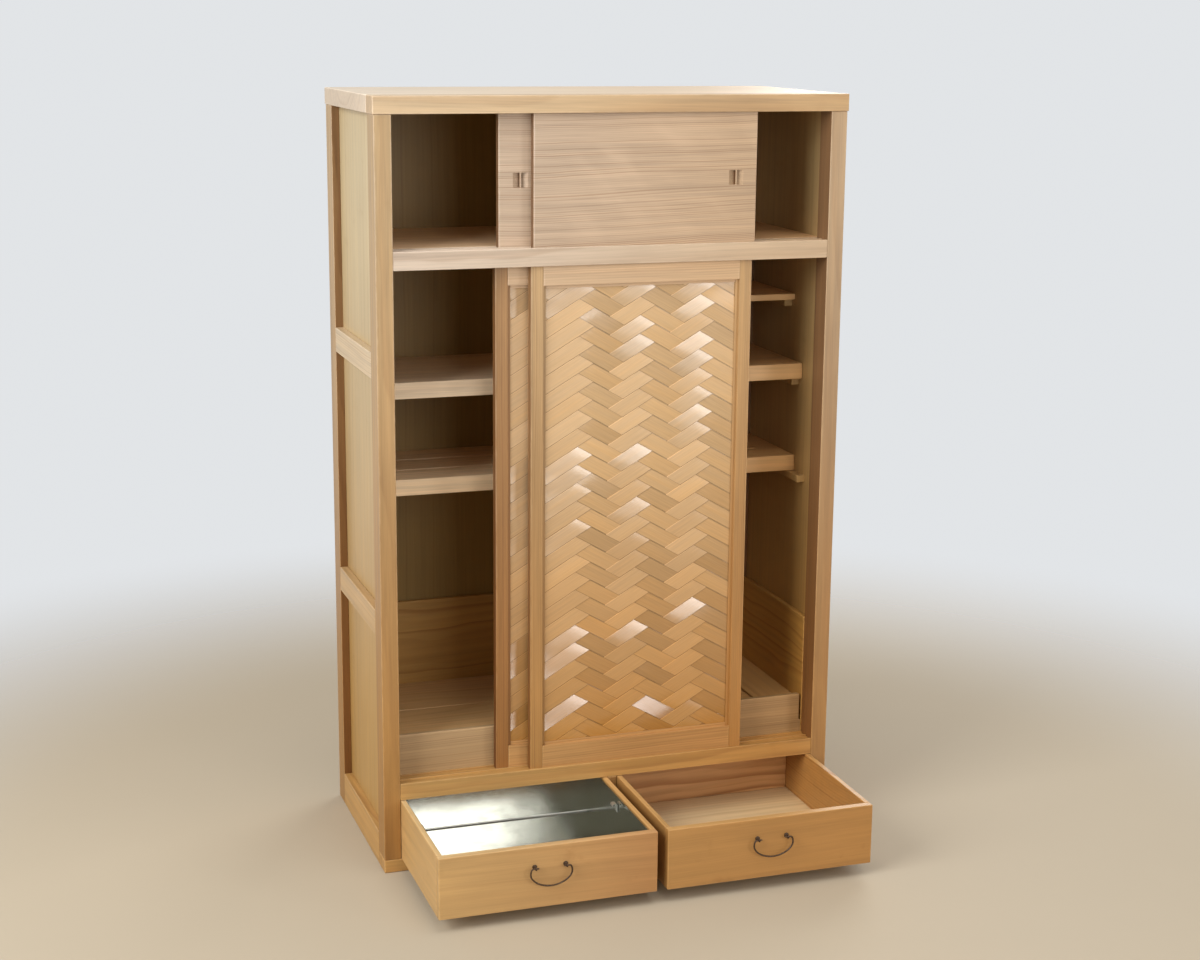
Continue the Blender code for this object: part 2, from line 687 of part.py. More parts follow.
def build_drawer(side):
    """One drawer, pulled out, with its bottom held in grooves."""
    name = "drawer_" + side
    low, high = on_side(side, (BAY_OUT, 0, 0), (BAY_IN, 0, 0))
    left_x = low[0] + DRAWER_RUN
    right_x = high[0] - DRAWER_RUN
    face_y = FRONT - DRAWER_OUT
    back_y = face_y + DRAWER_LENGTH
    middle_x = (left_x + right_x) / 2
    parent = joint_empty(name + "_slide", (middle_x, face_y, DRAWER_UNDER))

    inside_left = left_x + DRAWER_SIDE_THICK
    inside_right = right_x - DRAWER_SIDE_THICK
    inside_front = face_y + DRAWER_FRONT_THICK
    inside_back = back_y - DRAWER_BACK_THICK
    bottom_under = DRAWER_UNDER + DRAWER_BOTTOM_RISE
    bottom_over = bottom_under + DRAWER_BOTTOM_THICK
    bottom_low = Vector((inside_left - DRAWER_GROOVE, inside_front - DRAWER_GROOVE, bottom_under))
    bottom_high = Vector((inside_right + DRAWER_GROOVE, inside_back + DRAWER_GROOVE, bottom_over))

    walls = (
        ("front", (left_x, face_y), (right_x, inside_front)),
        ("side_left", (left_x, inside_front + SEAT), (inside_left, back_y)),
        ("side_right", (inside_right, inside_front + SEAT), (right_x, back_y)),
        ("back", (inside_left + SEAT, inside_back), (inside_right - SEAT, back_y)),
    )
    for part_name, start, end in walls:
        piece = box(f"{name}_{part_name}", (*start, DRAWER_UNDER), (*end, DRAWER_TOP))
        cut_box(piece, *grown(bottom_low, bottom_high, SEAT))
        finish(piece, "warm_cedar", parent)
    board(name + "_bottom", bottom_low, bottom_high, "pale_cedar", parent)

    if side == "left":
        low = (inside_left + SEAT, inside_front + SEAT, bottom_over + SEAT)
        high = (inside_right - SEAT, inside_back - SEAT, DRAWER_TOP - LINER_DROP)
        build_liner(low, high, parent)
    build_handle(side, middle_x, face_y, parent)


def build_liner(low, high, parent):
    """A tray of folded sheet that fills the left drawer."""
    liner = box("drawer_left_liner", low, high)
    inner_low = Vector(low) + Vector([LINER_SHEET] * 3)
    inner_high = Vector(high) + Vector((-LINER_SHEET, -LINER_SHEET, FAR))
    cut_box(liner, inner_low, inner_high)
    finish(liner, "tinned_sheet", parent, edge=0)


def round_bar(name, start, end, radius, segments=16):
    """A round bar between two points."""
    start = Vector(start)
    end = Vector(end)
    shape = bmesh.new()
    length = (end - start).length
    bmesh.ops.create_cone(
        shape, cap_ends=True, segments=segments, radius1=radius, radius2=radius, depth=length
    )
    turn = (end - start).to_track_quat("Z", "Y").to_matrix().to_4x4()
    bmesh.ops.transform(shape, matrix=turn, verts=shape.verts)
    bmesh.ops.translate(shape, vec=(start + end) / 2, verts=shape.verts)
    return object_from_bmesh(name, shape)


def ball(name, centre, radius):
    """A round head."""
    shape = bmesh.new()
    bmesh.ops.create_uvsphere(shape, u_segments=16, v_segments=10, radius=radius)
    bmesh.ops.translate(shape, vec=centre, verts=shape.verts)
    return object_from_bmesh(name, shape)


def build_handle(side, middle_x, face_y, parent):
    """Two eyes on the drawer front and the wire bail that swings in them."""
    name = "drawer_" + side
    axis_y = face_y - SEAT - EYE_STANDOFF
    axis_z = DRAWER_TOP - HANDLE_LEVEL
    for eye_side, sign in (("left", -1), ("right", 1)):
        eye_x = middle_x + sign * EYE_SPACING / 2
        foot = (eye_x, face_y - SEAT, axis_z)
        eye = round_bar(f"{name}_eye_{eye_side}", foot, (eye_x, axis_y, axis_z), EYE_STEM_RADIUS)
        rosette_end = (eye_x, face_y - SEAT - ROSETTE_THICK, axis_z)
        combine(eye, round_bar("rosette", foot, rosette_end, ROSETTE_RADIUS, 24), "UNION")
        combine(eye, ball("head", (eye_x, axis_y, axis_z), EYE_HEAD_RADIUS), "UNION")
        hole_start = (eye_x - 2 * EYE_HEAD_RADIUS, axis_y, axis_z)
        hole_end = (eye_x + 2 * EYE_HEAD_RADIUS, axis_y, axis_z)
        combine(eye, round_bar("hole", hole_start, hole_end, EYE_HOLE_RADIUS), "DIFFERENCE")
        finish(eye, "dark_iron", parent, edge=0)
    build_bail(name + "_bail", (middle_x, axis_y, axis_z), parent)


def build_bail(name, axis, parent):
    """A drop handle of round wire, hanging from its two straight pins. Its origin is on its axis."""
    pin_in = EYE_SPACING / 2 - BAIL_PIN_REACH
    pin_out = EYE_SPACING / 2 + BAIL_PIN_REACH
    half = BAIL_WIDTH / 2
    shoulder = BAIL_DROP * 0.30
    reach = half - pin_out
    right_half = [
        ((pin_in, 0), (pin_in, 0), (pin_in, 0)),
        ((pin_out, 0), (pin_out - reach / 2, 0), (pin_out + reach * 0.6, 0)),
        ((half, -shoulder), (half, -shoulder * 0.4), (half, -shoulder * 1.7)),
    ]
    bottom = ((0, -BAIL_DROP), (half * 0.55, -BAIL_DROP), (-half * 0.55, -BAIL_DROP))
    left_half = []
    for point, before, after in reversed(right_half):
        left_half.append(((-point[0], point[1]), (-after[0], after[1]), (-before[0], before[1])))

    curve = bpy.data.curves.new(name, "CURVE")
    curve.dimensions = "3D"
    curve.bevel_depth = BAIL_RADIUS
    curve.bevel_resolution = 2
    curve.resolution_u = 8
    curve.use_fill_caps = True
    spline = curve.splines.new("BEZIER")
    points = right_half + [bottom] + left_half
    spline.bezier_points.add(len(points) - 1)
    for target, (point, before, after) in zip(spline.bezier_points, points):
        target.handle_left_type = "FREE"
        target.handle_right_type = "FREE"
        target.co = (point[0], 0, point[1])
        target.handle_left = (before[0], 0, before[1])
        target.handle_right = (after[0], 0, after[1])

    source = mesh_object(name + "_wire", curve)
    mesh = bpy.data.meshes.new_from_object(source)
    bpy.data.objects.remove(source, do_unlink=True)
    shape = bmesh.new()
    shape.from_mesh(mesh)
    bmesh.ops.remove_doubles(shape, verts=shape.verts, dist=0.00001)
    bmesh.ops.translate(shape, vec=axis, verts=shape.verts)
    bail = object_from_bmesh(name, shape)
    finish(bail, "dark_iron", parent, edge=0)
    set_bail_origin(bail, axis, parent)


def set_bail_origin(bail, axis, parent):
    """Put the bail's origin on its swing axis."""
    now = bail.location + parent.location
    shift = Vector(axis) - now
    for vertex in bail.data.vertices:
        vertex.co -= shift
    bail.location = Vector(axis) - parent.location


def main():
    """Build every piece of the cabinet."""
    clear_scene()
    posts = build_posts()
    cut_panel_grooves(posts)
    build_base(posts)
    build_sides(posts)
    build_track_rails(posts)
    finish_posts(posts)
    build_back()
    build_top()
    build_shelves()
    build_floor()
    build_upper_doors()
    build_lower_doors()
    build_drawers()


main()
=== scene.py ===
"""The looks of a tea ceremony cabinet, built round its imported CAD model.

Every board of the model keeps its shape and gets a cedar finish of its own. The woven door
panels, the drawer handles and the metal liner are modelled here and stand for their plain solids.
"""

import json
import math
import random
from collections import namedtuple

import bmesh
import bpy
from bpy.props import FloatProperty, FloatVectorProperty, IntProperty, PointerProperty
from mathutils import Euler, Matrix, Vector


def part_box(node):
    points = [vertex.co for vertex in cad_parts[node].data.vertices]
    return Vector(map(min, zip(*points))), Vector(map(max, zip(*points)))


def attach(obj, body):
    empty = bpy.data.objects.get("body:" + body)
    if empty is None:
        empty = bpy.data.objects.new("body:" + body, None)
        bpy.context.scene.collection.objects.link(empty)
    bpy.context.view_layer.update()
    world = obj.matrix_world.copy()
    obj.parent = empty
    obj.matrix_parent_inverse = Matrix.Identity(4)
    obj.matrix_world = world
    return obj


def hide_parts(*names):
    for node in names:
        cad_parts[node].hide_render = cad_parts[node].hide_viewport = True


bl_info = {
    "name": "Tea Ceremony Cabinet",
    "version": (1, 0, 0),
    "blender": (4, 5, 0),
    "location": "View3D > Sidebar > Cabinet",
    "description": "Dresses the boards of a tea ceremony cabinet and models its weave, handles and liner",
    "category": "Object",
}

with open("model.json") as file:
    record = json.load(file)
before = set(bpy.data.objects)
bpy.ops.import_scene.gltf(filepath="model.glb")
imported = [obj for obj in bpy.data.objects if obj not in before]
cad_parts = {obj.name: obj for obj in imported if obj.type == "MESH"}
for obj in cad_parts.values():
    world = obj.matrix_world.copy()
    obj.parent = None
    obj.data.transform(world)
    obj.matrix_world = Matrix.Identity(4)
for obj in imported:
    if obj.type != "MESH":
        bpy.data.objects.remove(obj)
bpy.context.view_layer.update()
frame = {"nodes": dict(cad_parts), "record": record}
NODES = frame["nodes"]
SLOT_COLOURS = {entry["slot"]: tuple(entry["base_color"]) for entry in frame["record"]["materials"]}
SIDES = ("left", "right")


# ---------------------------------------------------------------- sizes and colours

def size_value(name, description, default):
    """A length in metres that a user may change."""
    return FloatProperty(name=name, description=description, default=default, min=0.0, unit="LENGTH")


def colour_value(name, description, default):
    """A colour that a user may change."""
    return FloatVectorProperty(
        name=name, description=description, default=default, size=3, min=0.0, max=1.0, subtype="COLOR"
    )


def share_value(name, description, default, top=1.0):
    """A plain number that a user may change."""
    return FloatProperty(name=name, description=description, default=default, min=0.0, max=top)


def share_tint(name, description, default):
    """A tint that may lighten as well as darken."""
    return FloatVectorProperty(name=name, description=description, default=default, size=3, min=0.0, max=3.0)


def angle_value(name, description, degrees):
    """An angle that a user may change."""
    return FloatProperty(name=name, description=description, default=math.radians(degrees), subtype="ANGLE")


def power_value(name, description, default):
    """A lamp's power that a user may change."""
    return FloatProperty(name=name, description=description, default=default, unit="POWER")


class CabinetWood(bpy.types.PropertyGroup):
    """Colours and age of the cedar boards, and the painted light and shade laid on them."""

    pale: colour_value("Pale cedar", "Top, posts, rails and upper doors", SLOT_COLOURS["pale_cedar"])
    warm: colour_value("Warm cedar", "Door frames, drawers and inner boards", SLOT_COLOURS["warm_cedar"])
    dark: colour_value("Dark cedar", "Boards that stay in the shade", SLOT_COLOURS["dark_cedar"])
    line: colour_value("Ring line", "Tint of the dark line of each year ring", (0.52, 0.36, 0.24))
    end_grain: colour_value("End grain", "Tint of the sawn ends", (0.38, 0.27, 0.18))
    # Painted light: paler and cooler near the top, where the light from above falls, and warmer and darker
    # near the floor, from its warm bounce.
    painted_head_light: share_tint("Head tone", "Tint of the boards near the top", (1.06, 1.10, 1.18))
    painted_foot_bounce: share_tint("Foot tone", "Tint that the boards take on towards the floor", (0.84, 0.64, 0.36))
    # Painted light: paler and cooler on the left, where the daylight falls, and painted shade, warmer and
    # darker, on the right.
    left_tone: share_tint("Left tone", "Tint of the side that was bleached by daylight", (1.04, 1.08, 1.16))
    painted_right_shade: share_tint("Right tone", "Tint of the side away from daylight", (0.93, 0.84, 0.70))
    shaded: share_tint("Shaded faces", "Tint of faces that stay in the dark of a gap", (0.52, 0.42, 0.34))
    # Painted light: the drawers' upward faces are made lighter, as the light from above falls on them.
    handled_and_top_lit: share_tint("Handled edges", "Tint of the upper edges of the drawers", (1.22, 1.36, 1.65))
    # The back panel's outer face is lifted out of the dark inner tone, which is partly darker wood and partly
    # painted shade of the interior.
    outside: share_tint("Outside", "Tint of the back panel's outer face", (1.84, 1.90, 3.00))
    wear: share_value("Edge wear", "How much the rubbed edges lighten", 0.36)


class CabinetWeave(bpy.types.PropertyGroup):
    """Sizes and colour of the woven door panels."""

    strip_width: size_value("Strip width", "Width of one cedar strip", 0.0295)
    strip_thick: size_value("Strip thickness", "Thickness of one cedar strip", 0.0005)
    pitch: size_value("Strip pitch", "Distance between neighbouring strips, square to them", 0.0301)
    rise: size_value("Rise", "How far a strip rises and dips as it passes over and under", 0.0006)
    crown: size_value("Crown", "How far the middle of a strip stands above its edges", 0.00005)
    tilt: angle_value("Tilt", "How far one visible patch leans to its side", 0.9)
    lifted: share_value("Lifted", "Share of the rising patches that stand off and catch the light", 0.30)
    slope: angle_value("Slope", "Angle of the strips to the floor", 30.17)
    drift: FloatProperty(
        name="Drift", description="Sideways step of the weave from row to row", default=-0.0003, unit="LENGTH"
    )
    colour: colour_value("Strip colour", "Colour of the strips", SLOT_COLOURS["woven_cedar"])
    seed: IntProperty(name="Seed", description="Starts the play of the single strips", default=7, min=0)


class CabinetHandles(bpy.types.PropertyGroup):
    """Sizes and colour of the drawer handles."""

    wire: size_value("Wire radius", "Radius of the bail's wire", 0.0016)
    width: size_value("Bail width", "Width over the middle of the bail's wire", 0.078)
    drop: size_value("Bail drop", "From the swing axis to the bottom of the bail", 0.035)
    eye_spacing: size_value("Eye spacing", "Distance between the two eyes", 0.058)
    ring: size_value("Eye radius", "Outer radius of an eye's ring", 0.0038)
    hole: size_value("Hole radius", "Radius of the hole in an eye", 0.0019)
    plate: size_value("Plate radius", "Radius of the round plate under an eye", 0.0046)
    colour: colour_value("Iron", "Colour of the browned wire", SLOT_COLOURS["dark_iron"])


class CabinetLiner(bpy.types.PropertyGroup):
    """Sizes and colour of the metal liner."""

    sheet: size_value("Sheet thickness", "Thickness of the tinned sheet", 0.0008)
    crease: size_value("Crease", "Depth of the flattened seam at the foot of the walls", 0.0036)
    hem: size_value("Hem", "Depth of the rim that is folded back", 0.007)
    lug: size_value("Lug", "How far a lifting lug stands in from the wall", 0.010)
    colour: colour_value("Tinned sheet", "Colour of the sheet", SLOT_COLOURS["tinned_sheet"])


class CabinetStage(bpy.types.PropertyGroup):
    """Floor, light and backdrop."""

    floor: colour_value("Floor", "Colour of the plain floor", (0.49, 0.41, 0.30))
    backdrop: colour_value("Backdrop", "Colour behind the cabinet", (0.76, 0.78, 0.80))
    ambient: share_value("Ambient", "Light from all round", 0.27, 4.0)
    key: power_value("Side light", "Power of the soft light at the left", 126.0)
    fill: power_value("Front light", "Power of the soft light in front", 28.0)
    sheen: power_value("Window light", "Power of the soft light at the front right", 32.0)
    ceiling: power_value("Ceiling light", "Power of the soft light above", 37.0)
    rear: power_value("Rear light", "Power of the soft light behind", 70.0)


class CabinetSettings(bpy.types.PropertyGroup):
    """All settings of the cabinet."""

    wood: PointerProperty(type=CabinetWood)
    weave: PointerProperty(type=CabinetWeave)
    handles: PointerProperty(type=CabinetHandles)
    liner: PointerProperty(type=CabinetLiner)
    stage: PointerProperty(type=CabinetStage)


# ---------------------------------------------------------------- shader helpers

def feed(tree, socket, value):
    """Link a socket to another one, or set its value."""
    if isinstance(value, bpy.types.NodeSocket):
        tree.links.new(value, socket)
    else:
        socket.default_value = value


def add_node(tree, kind, inputs=None, **settings):
    """Add a node with its settings and inputs."""
    node = tree.nodes.new(kind)
    for name, value in settings.items():
        setattr(node, name, value)
    for key, value in (inputs or {}).items():
        feed(tree, node.inputs[key], value)
    return node


def maths(tree, operation, first, second=0.0, third=0.0):
    """One step of arithmetic."""
    node = add_node(tree, "ShaderNodeMath", {0: first, 1: second, 2: third}, operation=operation)
    return node.outputs[0]


def plus(tree, first, second):
    """The sum of two numbers."""
    return maths(tree, "ADD", first, second)


def minus(tree, first, second):
    """The difference of two numbers."""
    return maths(tree, "SUBTRACT", first, second)


def times(tree, first, second):
    """The product of two numbers."""
    return maths(tree, "MULTIPLY", first, second)


def centred(tree, value):
    """A number of 0 to 1 as one of -0.5 to 0.5."""
    return minus(tree, value, 0.5)


def weighed(tree, start, *parts):
    """A number plus others, each times its weight."""
    for value, weight in parts:
        start = maths(tree, "MULTIPLY_ADD", value, weight, start)
    return start


def vectors(tree, operation, first, second=(0.0, 0.0, 0.0)):
    """One step of arithmetic on vectors or colours."""
    node = add_node(tree, "ShaderNodeVectorMath", {0: first, 1: second}, operation=operation)
    single = operation in ("LENGTH", "DOT_PRODUCT")
    return node.outputs["Value" if single else "Vector"]


def multiplied(tree, colour, stain):
    """A colour or vector times another, part by part."""
    return vectors(tree, "MULTIPLY", colour, stain)


def scaled(tree, vector, factor):
    """A vector or colour times a number."""
    node = add_node(tree, "ShaderNodeVectorMath", {0: vector, "Scale": factor}, operation="SCALE")
    return node.outputs["Vector"]


def split(tree, vector):
    """The three parts of a vector."""
    return add_node(tree, "ShaderNodeSeparateXYZ", {0: vector}).outputs


def combined(tree, first, second, third=0.0):
    """A vector of three parts."""
    return add_node(tree, "ShaderNodeCombineXYZ", {0: first, 1: second, 2: third}).outputs[0]


def ease(tree, value, start, end, low=0.0, high=1.0):
    """A smooth step from low at start to high at end."""
    inputs = {"Value": value, "From Min": start, "From Max": end, "To Min": low, "To Max": high}
    node = add_node(tree, "ShaderNodeMapRange", inputs, interpolation_type="SMOOTHSTEP")
    return node.outputs["Result"]


def mottle(tree, position, stretch, detail=2.0, roughness=0.5, output=0):
    """Noise of about 0 to 1, with its own scale along each axis. Output 1 is a vector of it."""
    inputs = {
        "Vector": multiplied(tree, position, stretch), "Scale": 1.0, "Detail": detail, "Roughness": roughness,
    }
    return add_node(tree, "ShaderNodeTexNoise", inputs).outputs[output]


def lots(tree, tag, kind="1D"):
    """A number and a colour that are drawn by lot for each tag."""
    inputs = {"W" if kind == "1D" else "Vector": tag}
    return add_node(tree, "ShaderNodeTexWhiteNoise", inputs, noise_dimensions=kind).outputs


def tint(tree, factor, first, second):
    """Mix two colours."""
    node = add_node(tree, "ShaderNodeMix", data_type="RGBA")
    for key, value in ((0, factor), (6, first), (7, second)):
        feed(tree, node.inputs[key], value)
    return node.outputs[2]


def stained_or_shaded(tree, share, colour, stain):
    """A colour that takes on a tint where the share is 1: stains, and painted shade and light on faces that
    look one way.
    """
    return tint(tree, share, colour, multiplied(tree, colour, stain))


def painted_light_graded(tree, share, colour, first, second):
    """A colour that turns from one tint to another, as painted light across the boards and strips."""
    return tint(tree, share, multiplied(tree, colour, first), multiplied(tree, colour, second))


def blend(tree, share, first, second):
    """Mix two shaders."""
    return add_node(tree, "ShaderNodeMixShader", {0: share, 1: first, 2: second}).outputs[0]


def rgba(colour, factor=1.0):
    """A colour with full cover, darker or lighter by a factor."""
    return tuple(part * factor for part in colour) + (1.0,)


def object_spot(tree):
    """A point's place in the cabinet's frame."""
    return add_node(tree, "ShaderNodeTexCoord").outputs["Object"]


def new_group(name, inputs, outputs):
    """Start a node group. Returns the group, its input node and its output node."""
    group = bpy.data.node_groups.new(name, "ShaderNodeTree")
    for socket_name, kind in inputs:
        group.interface.new_socket(socket_name, in_out="INPUT", socket_type=kind)
    for socket_name, kind in outputs:
        group.interface.new_socket(socket_name, in_out="OUTPUT", socket_type=kind)
    return group, group.nodes.new("NodeGroupInput"), group.nodes.new("NodeGroupOutput")


def new_material(name):
    """Start a material. Returns it, its tree and its shader."""
    material = bpy.data.materials.new(name)
    material.use_nodes = True
    tree = material.node_tree
    return material, tree, tree.nodes["Principled BSDF"]


def dress(tree, shader, colour, rough):
    """Give a shader its colour and its roughness."""
    feed(tree, shader.inputs["Base Color"], colour)
    feed(tree, shader.inputs["Roughness"], rough)


def add_bump(tree, shader, height, strength, distance):
    """Let a height stand out of the surface."""
    inputs = {"Height": height, "Strength": strength, "Distance": distance}
    bump = add_node(tree, "ShaderNodeBump", inputs)
    tree.links.new(bump.outputs["Normal"], shader.inputs["Normal"])


# ---------------------------------------------------------------- cedar finish

NUMBER = "NodeSocketFloat"
VECTOR = "NodeSocketVector"
COLOUR = "NodeSocketColor"

# Noise of the cedar, in waves per metre along the grain and across it.
SLOW_SWAY = (1.3, 5.0, 5.0)
QUICK_SWAY = (6.0, 16.0, 16.0)
FIBRES = (9.0, 420.0, 420.0)
STREAKS = (2.2, 95.0, 95.0)
CLOUDS = (2.6, 5.5, 5.5)
RIPPLES = (17.0, 10.0, 10.0)
RIPPLED_SPOTS = (4.0, 9.0, 9.0)
RIPPLE_SKEW = 0.9  # how far the ripples lean across the grain
SEED_SHIFT = (3.1, 7.7, 5.3)  # moves the noise from board to board
RING_PACE = 24.0  # changes of the ring width per metre
RING_DRIFT = 4.0  # how many rings such a change takes up
LATE_WOOD = (0.30, 0.88)  # where the dark line of a year begins and where it is darkest
FAINTEST_LINE = 0.22
CEDAR_ROUGHNESS = 0.46


def cedar_figure_group():
    """Year rings, fibre and ripple round a tree's axis, which runs along x."""
    inputs = (
        ("Position", VECTOR), ("Seed", NUMBER), ("Wood", COLOUR), ("Line", COLOUR),
        ("Ring Width", NUMBER), ("Line Strength", NUMBER), ("Sway", NUMBER),
        ("Ripple", NUMBER), ("Fibre", NUMBER),
    )
    outputs = (("Color", COLOUR), ("Height", NUMBER), ("Roughness", NUMBER))
    group, given, result = new_group("Cedar figure", inputs, outputs)
    value = given.outputs
    seed = combined(group, value["Seed"], value["Seed"], value["Seed"])
    spot = vectors(group, "ADD", value["Position"], multiplied(group, seed, SEED_SHIFT))

    half = (0.5, 0.5, 0.5)
    slow = vectors(group, "SUBTRACT", mottle(group, spot, SLOW_SWAY, 1.0, output=1), half)
    quick = vectors(group, "SUBTRACT", mottle(group, spot, QUICK_SWAY, 1.0, output=1), half)
    sway = vectors(group, "ADD", multiplied(group, slow, (0.0, 2.0, 2.0)), multiplied(group, quick, (0.0, 0.45, 0.45)))
    sway = scaled(group, sway, value["Sway"])
    flat = multiplied(group, value["Position"], (0.0, 1.0, 1.0))
    radius = vectors(group, "LENGTH", vectors(group, "ADD", flat, sway))
    pace = combined(group, times(group, radius, RING_PACE), value["Seed"])
    uneven = times(group, mottle(group, pace, (1.0, 1.0, 1.0)), RING_DRIFT)
    rings = plus(group, maths(group, "DIVIDE", radius, value["Ring Width"]), uneven)
    phase = maths(group, "FRACT", rings)
    chance = maths(group, "POWER", lots(group, maths(group, "FLOOR", rings))["Value"], 2.0)
    line = minus(group, ease(group, phase, *LATE_WOOD), ease(group, phase, LATE_WOOD[1], 1.0))
    line = times(group, line, ease(group, chance, 0.0, 1.0, FAINTEST_LINE, 1.0))
    line = times(group, line, value["Line Strength"])

    fine = centred(group, mottle(group, spot, FIBRES, 2.0, 0.6))
    streak = centred(group, mottle(group, spot, STREAKS, 3.0))
    cloud = centred(group, mottle(group, spot, CLOUDS))
    along, side, depth = split(group, spot)
    skewed = weighed(group, along, (side, RIPPLE_SKEW), (depth, RIPPLE_SKEW))
    cross = mottle(group, combined(group, skewed, side, depth), RIPPLES, 1.0)
    rippled = mottle(group, spot, RIPPLED_SPOTS, 1.0)
    ripple = times(group, ease(group, cross, 0.40, 0.75), ease(group, rippled, 0.40, 0.65))
    ripple = times(group, ripple, value["Ripple"])

    grain = times(group, weighed(group, 0.0, (fine, 0.55), (streak, 0.90)), value["Fibre"])
    level = weighed(group, 1.0, (grain, 1.0), (cloud, 0.32), (ripple, 0.11))
    wood = stained_or_shaded(group, line, value["Wood"], value["Line"])
    rough = weighed(group, CEDAR_ROUGHNESS, (grain, 0.25), (line, 0.10), (ripple, -0.08))
    feed(group, result.inputs["Color"], scaled(group, wood, level))
    feed(group, result.inputs["Height"], weighed(group, fine, (streak, 0.5), (line, -1.0)))
    feed(group, result.inputs["Roughness"], rough)
    return group


RUBBED_SPOTS = (38.0, 38.0, 38.0)  # waves per metre
RUB_PLAY = 0.006  # how far the rubbed edge wanders
WORN_EDGE = (0.0002, 0.0032)  # from an edge, in metres
BARE_CEDAR = (0.80, 0.68, 0.52)
FACING = (0.72, 0.95)  # how squarely a face has to look one way to be tinted for it
SMUDGES = (17.0, 17.0, 21.0)  # waves per metre
SMUDGE_STAIN = (0.74, 0.64, 0.52)
FOOT_TO_HEAD = (0.1, 1.4)  # heights between which the painted light changes from the floor's warm bounce to the paler top
LEFT_TO_RIGHT = (-0.5, 0.5)  # places between which the painted light changes from left to right


def board_ageing_and_light_group(wood):
    """Rubbed edges, darker sawn ends and smudges from hands; painted shade and light on faces that look one
    way; and painted light that is warmer and darker towards the floor, paler at the top, paler on the left
    and darker on the right.
    """
    inputs = (
        ("Color", COLOUR), ("Position", VECTOR), ("Normal", VECTOR), ("Low", VECTOR), ("High", VECTOR),
        ("Grain", VECTOR), ("Smudge", NUMBER), ("Ends", NUMBER), ("Facing", VECTOR),
        ("Face Tint", VECTOR), ("Daylight", NUMBER), ("Right Tone", VECTOR),
    )
    group, given, result = new_group("Board ageing", inputs, (("Color", COLOUR),))
    value = given.outputs
    spot = value["Position"]
    from_low = vectors(group, "SUBTRACT", spot, value["Low"])
    from_high = vectors(group, "SUBTRACT", value["High"], spot)
    near = split(group, vectors(group, "MINIMUM", from_low, from_high))
    small = maths(group, "MINIMUM", near[0], near[1])
    large = maths(group, "MAXIMUM", near[0], near[1])
    edge = maths(group, "MAXIMUM", small, maths(group, "MINIMUM", large, near[2]))
    rub = centred(group, mottle(group, spot, RUBBED_SPOTS, 3.0))
    edge = weighed(group, edge, (rub, RUB_PLAY))
    worn = times(group, ease(group, edge, *WORN_EDGE, 1.0, 0.0), wood.wear)
    paler = tint(group, 0.35, scaled(group, value["Color"], 1.25), rgba(BARE_CEDAR))
    colour = tint(group, worn, value["Color"], paler)

    facing = maths(group, "ABSOLUTE", vectors(group, "DOT_PRODUCT", value["Normal"], value["Grain"]))
    sawn = times(group, ease(group, facing, *FACING), value["Ends"])
    colour = stained_or_shaded(group, sawn, colour, tuple(wood.end_grain))
    # Painted shade on faces in gaps and recesses, painted light on the drawers' upward faces, and the back
    # panel's outer face lifted out of its dark inner tone.
    faced = ease(group, vectors(group, "DOT_PRODUCT", value["Normal"], value["Facing"]), *FACING)
    colour = stained_or_shaded(group, faced, colour, value["Face Tint"])
    touched = ease(group, mottle(group, spot, SMUDGES, 4.0, 0.62), 0.58, 0.78)
    colour = stained_or_shaded(group, times(group, touched, value["Smudge"]), colour, SMUDGE_STAIN)

    # Painted light by height and by side, left out on the back panel.
    place = split(group, spot)
    height = ease(group, place[2], *FOOT_TO_HEAD)
    painted_light_tone = painted_light_graded(group, height, colour, tuple(wood.painted_foot_bounce), tuple(wood.painted_head_light))
    aside = ease(group, place[0], *LEFT_TO_RIGHT)
    painted_light_tone = painted_light_graded(group, aside, painted_light_tone, tuple(wood.left_tone), value["Right Tone"])
    feed(group, result.inputs["Color"], tint(group, value["Daylight"], colour, painted_light_tone))
    return group


Figure = namedtuple("Figure", "ring line sway ripple fibre sawn lean smudge ends")

# How a board is sawn: "rift" puts the tree's axis to one side, so that the lines run straight along
# the face, and "plain" puts it behind the face, so that the lines open into arches.
FIGURES = {
    "quiet": Figure(0.0046, 0.46, 0.008, 0.25, 0.62, "rift", 0.012, 0.14, 0.25),
    "still": Figure(0.0100, 0.16, 0.014, 0.12, 0.36, "plain", 0.010, 0.30, 0.25),
    "soft": Figure(0.0090, 0.27, 0.016, 0.25, 0.38, "plain", 0.012, 0.12, 0.25),
    "fine": Figure(0.0036, 0.66, 0.020, 0.95, 0.68, "rift", 0.012, 0.04, 1.0),
    "arched": Figure(0.0085, 0.62, 0.030, 0.30, 0.40, "plain", 0.035, 0.15, 0.4),
    "flame": Figure(0.0090, 0.85, 0.034, 0.35, 0.42, "plain", 0.060, 0.10, 0.3),
    "slant": Figure(0.0070, 0.60, 0.010, 0.20, 0.42, "rift", 0.330, 0.10, 0.3),
    "handled_and_top_lit": Figure(0.0110, 0.20, 0.014, 0.35, 0.46, "plain", 0.016, 0.50, 0.10),
}

# Turns a board's grain direction onto x.
GRAIN_TURN = {
    "X": (0.0, 0.0, 0.0),
    "Y": (0.0, 0.0, -math.pi / 2),
    "Z": (0.0, math.pi / 2, 0.0),
}
GRAIN_AXIS = {"X": (1.0, 0.0, 0.0), "Y": (0.0, 1.0, 0.0), "Z": (0.0, 0.0, 1.0)}


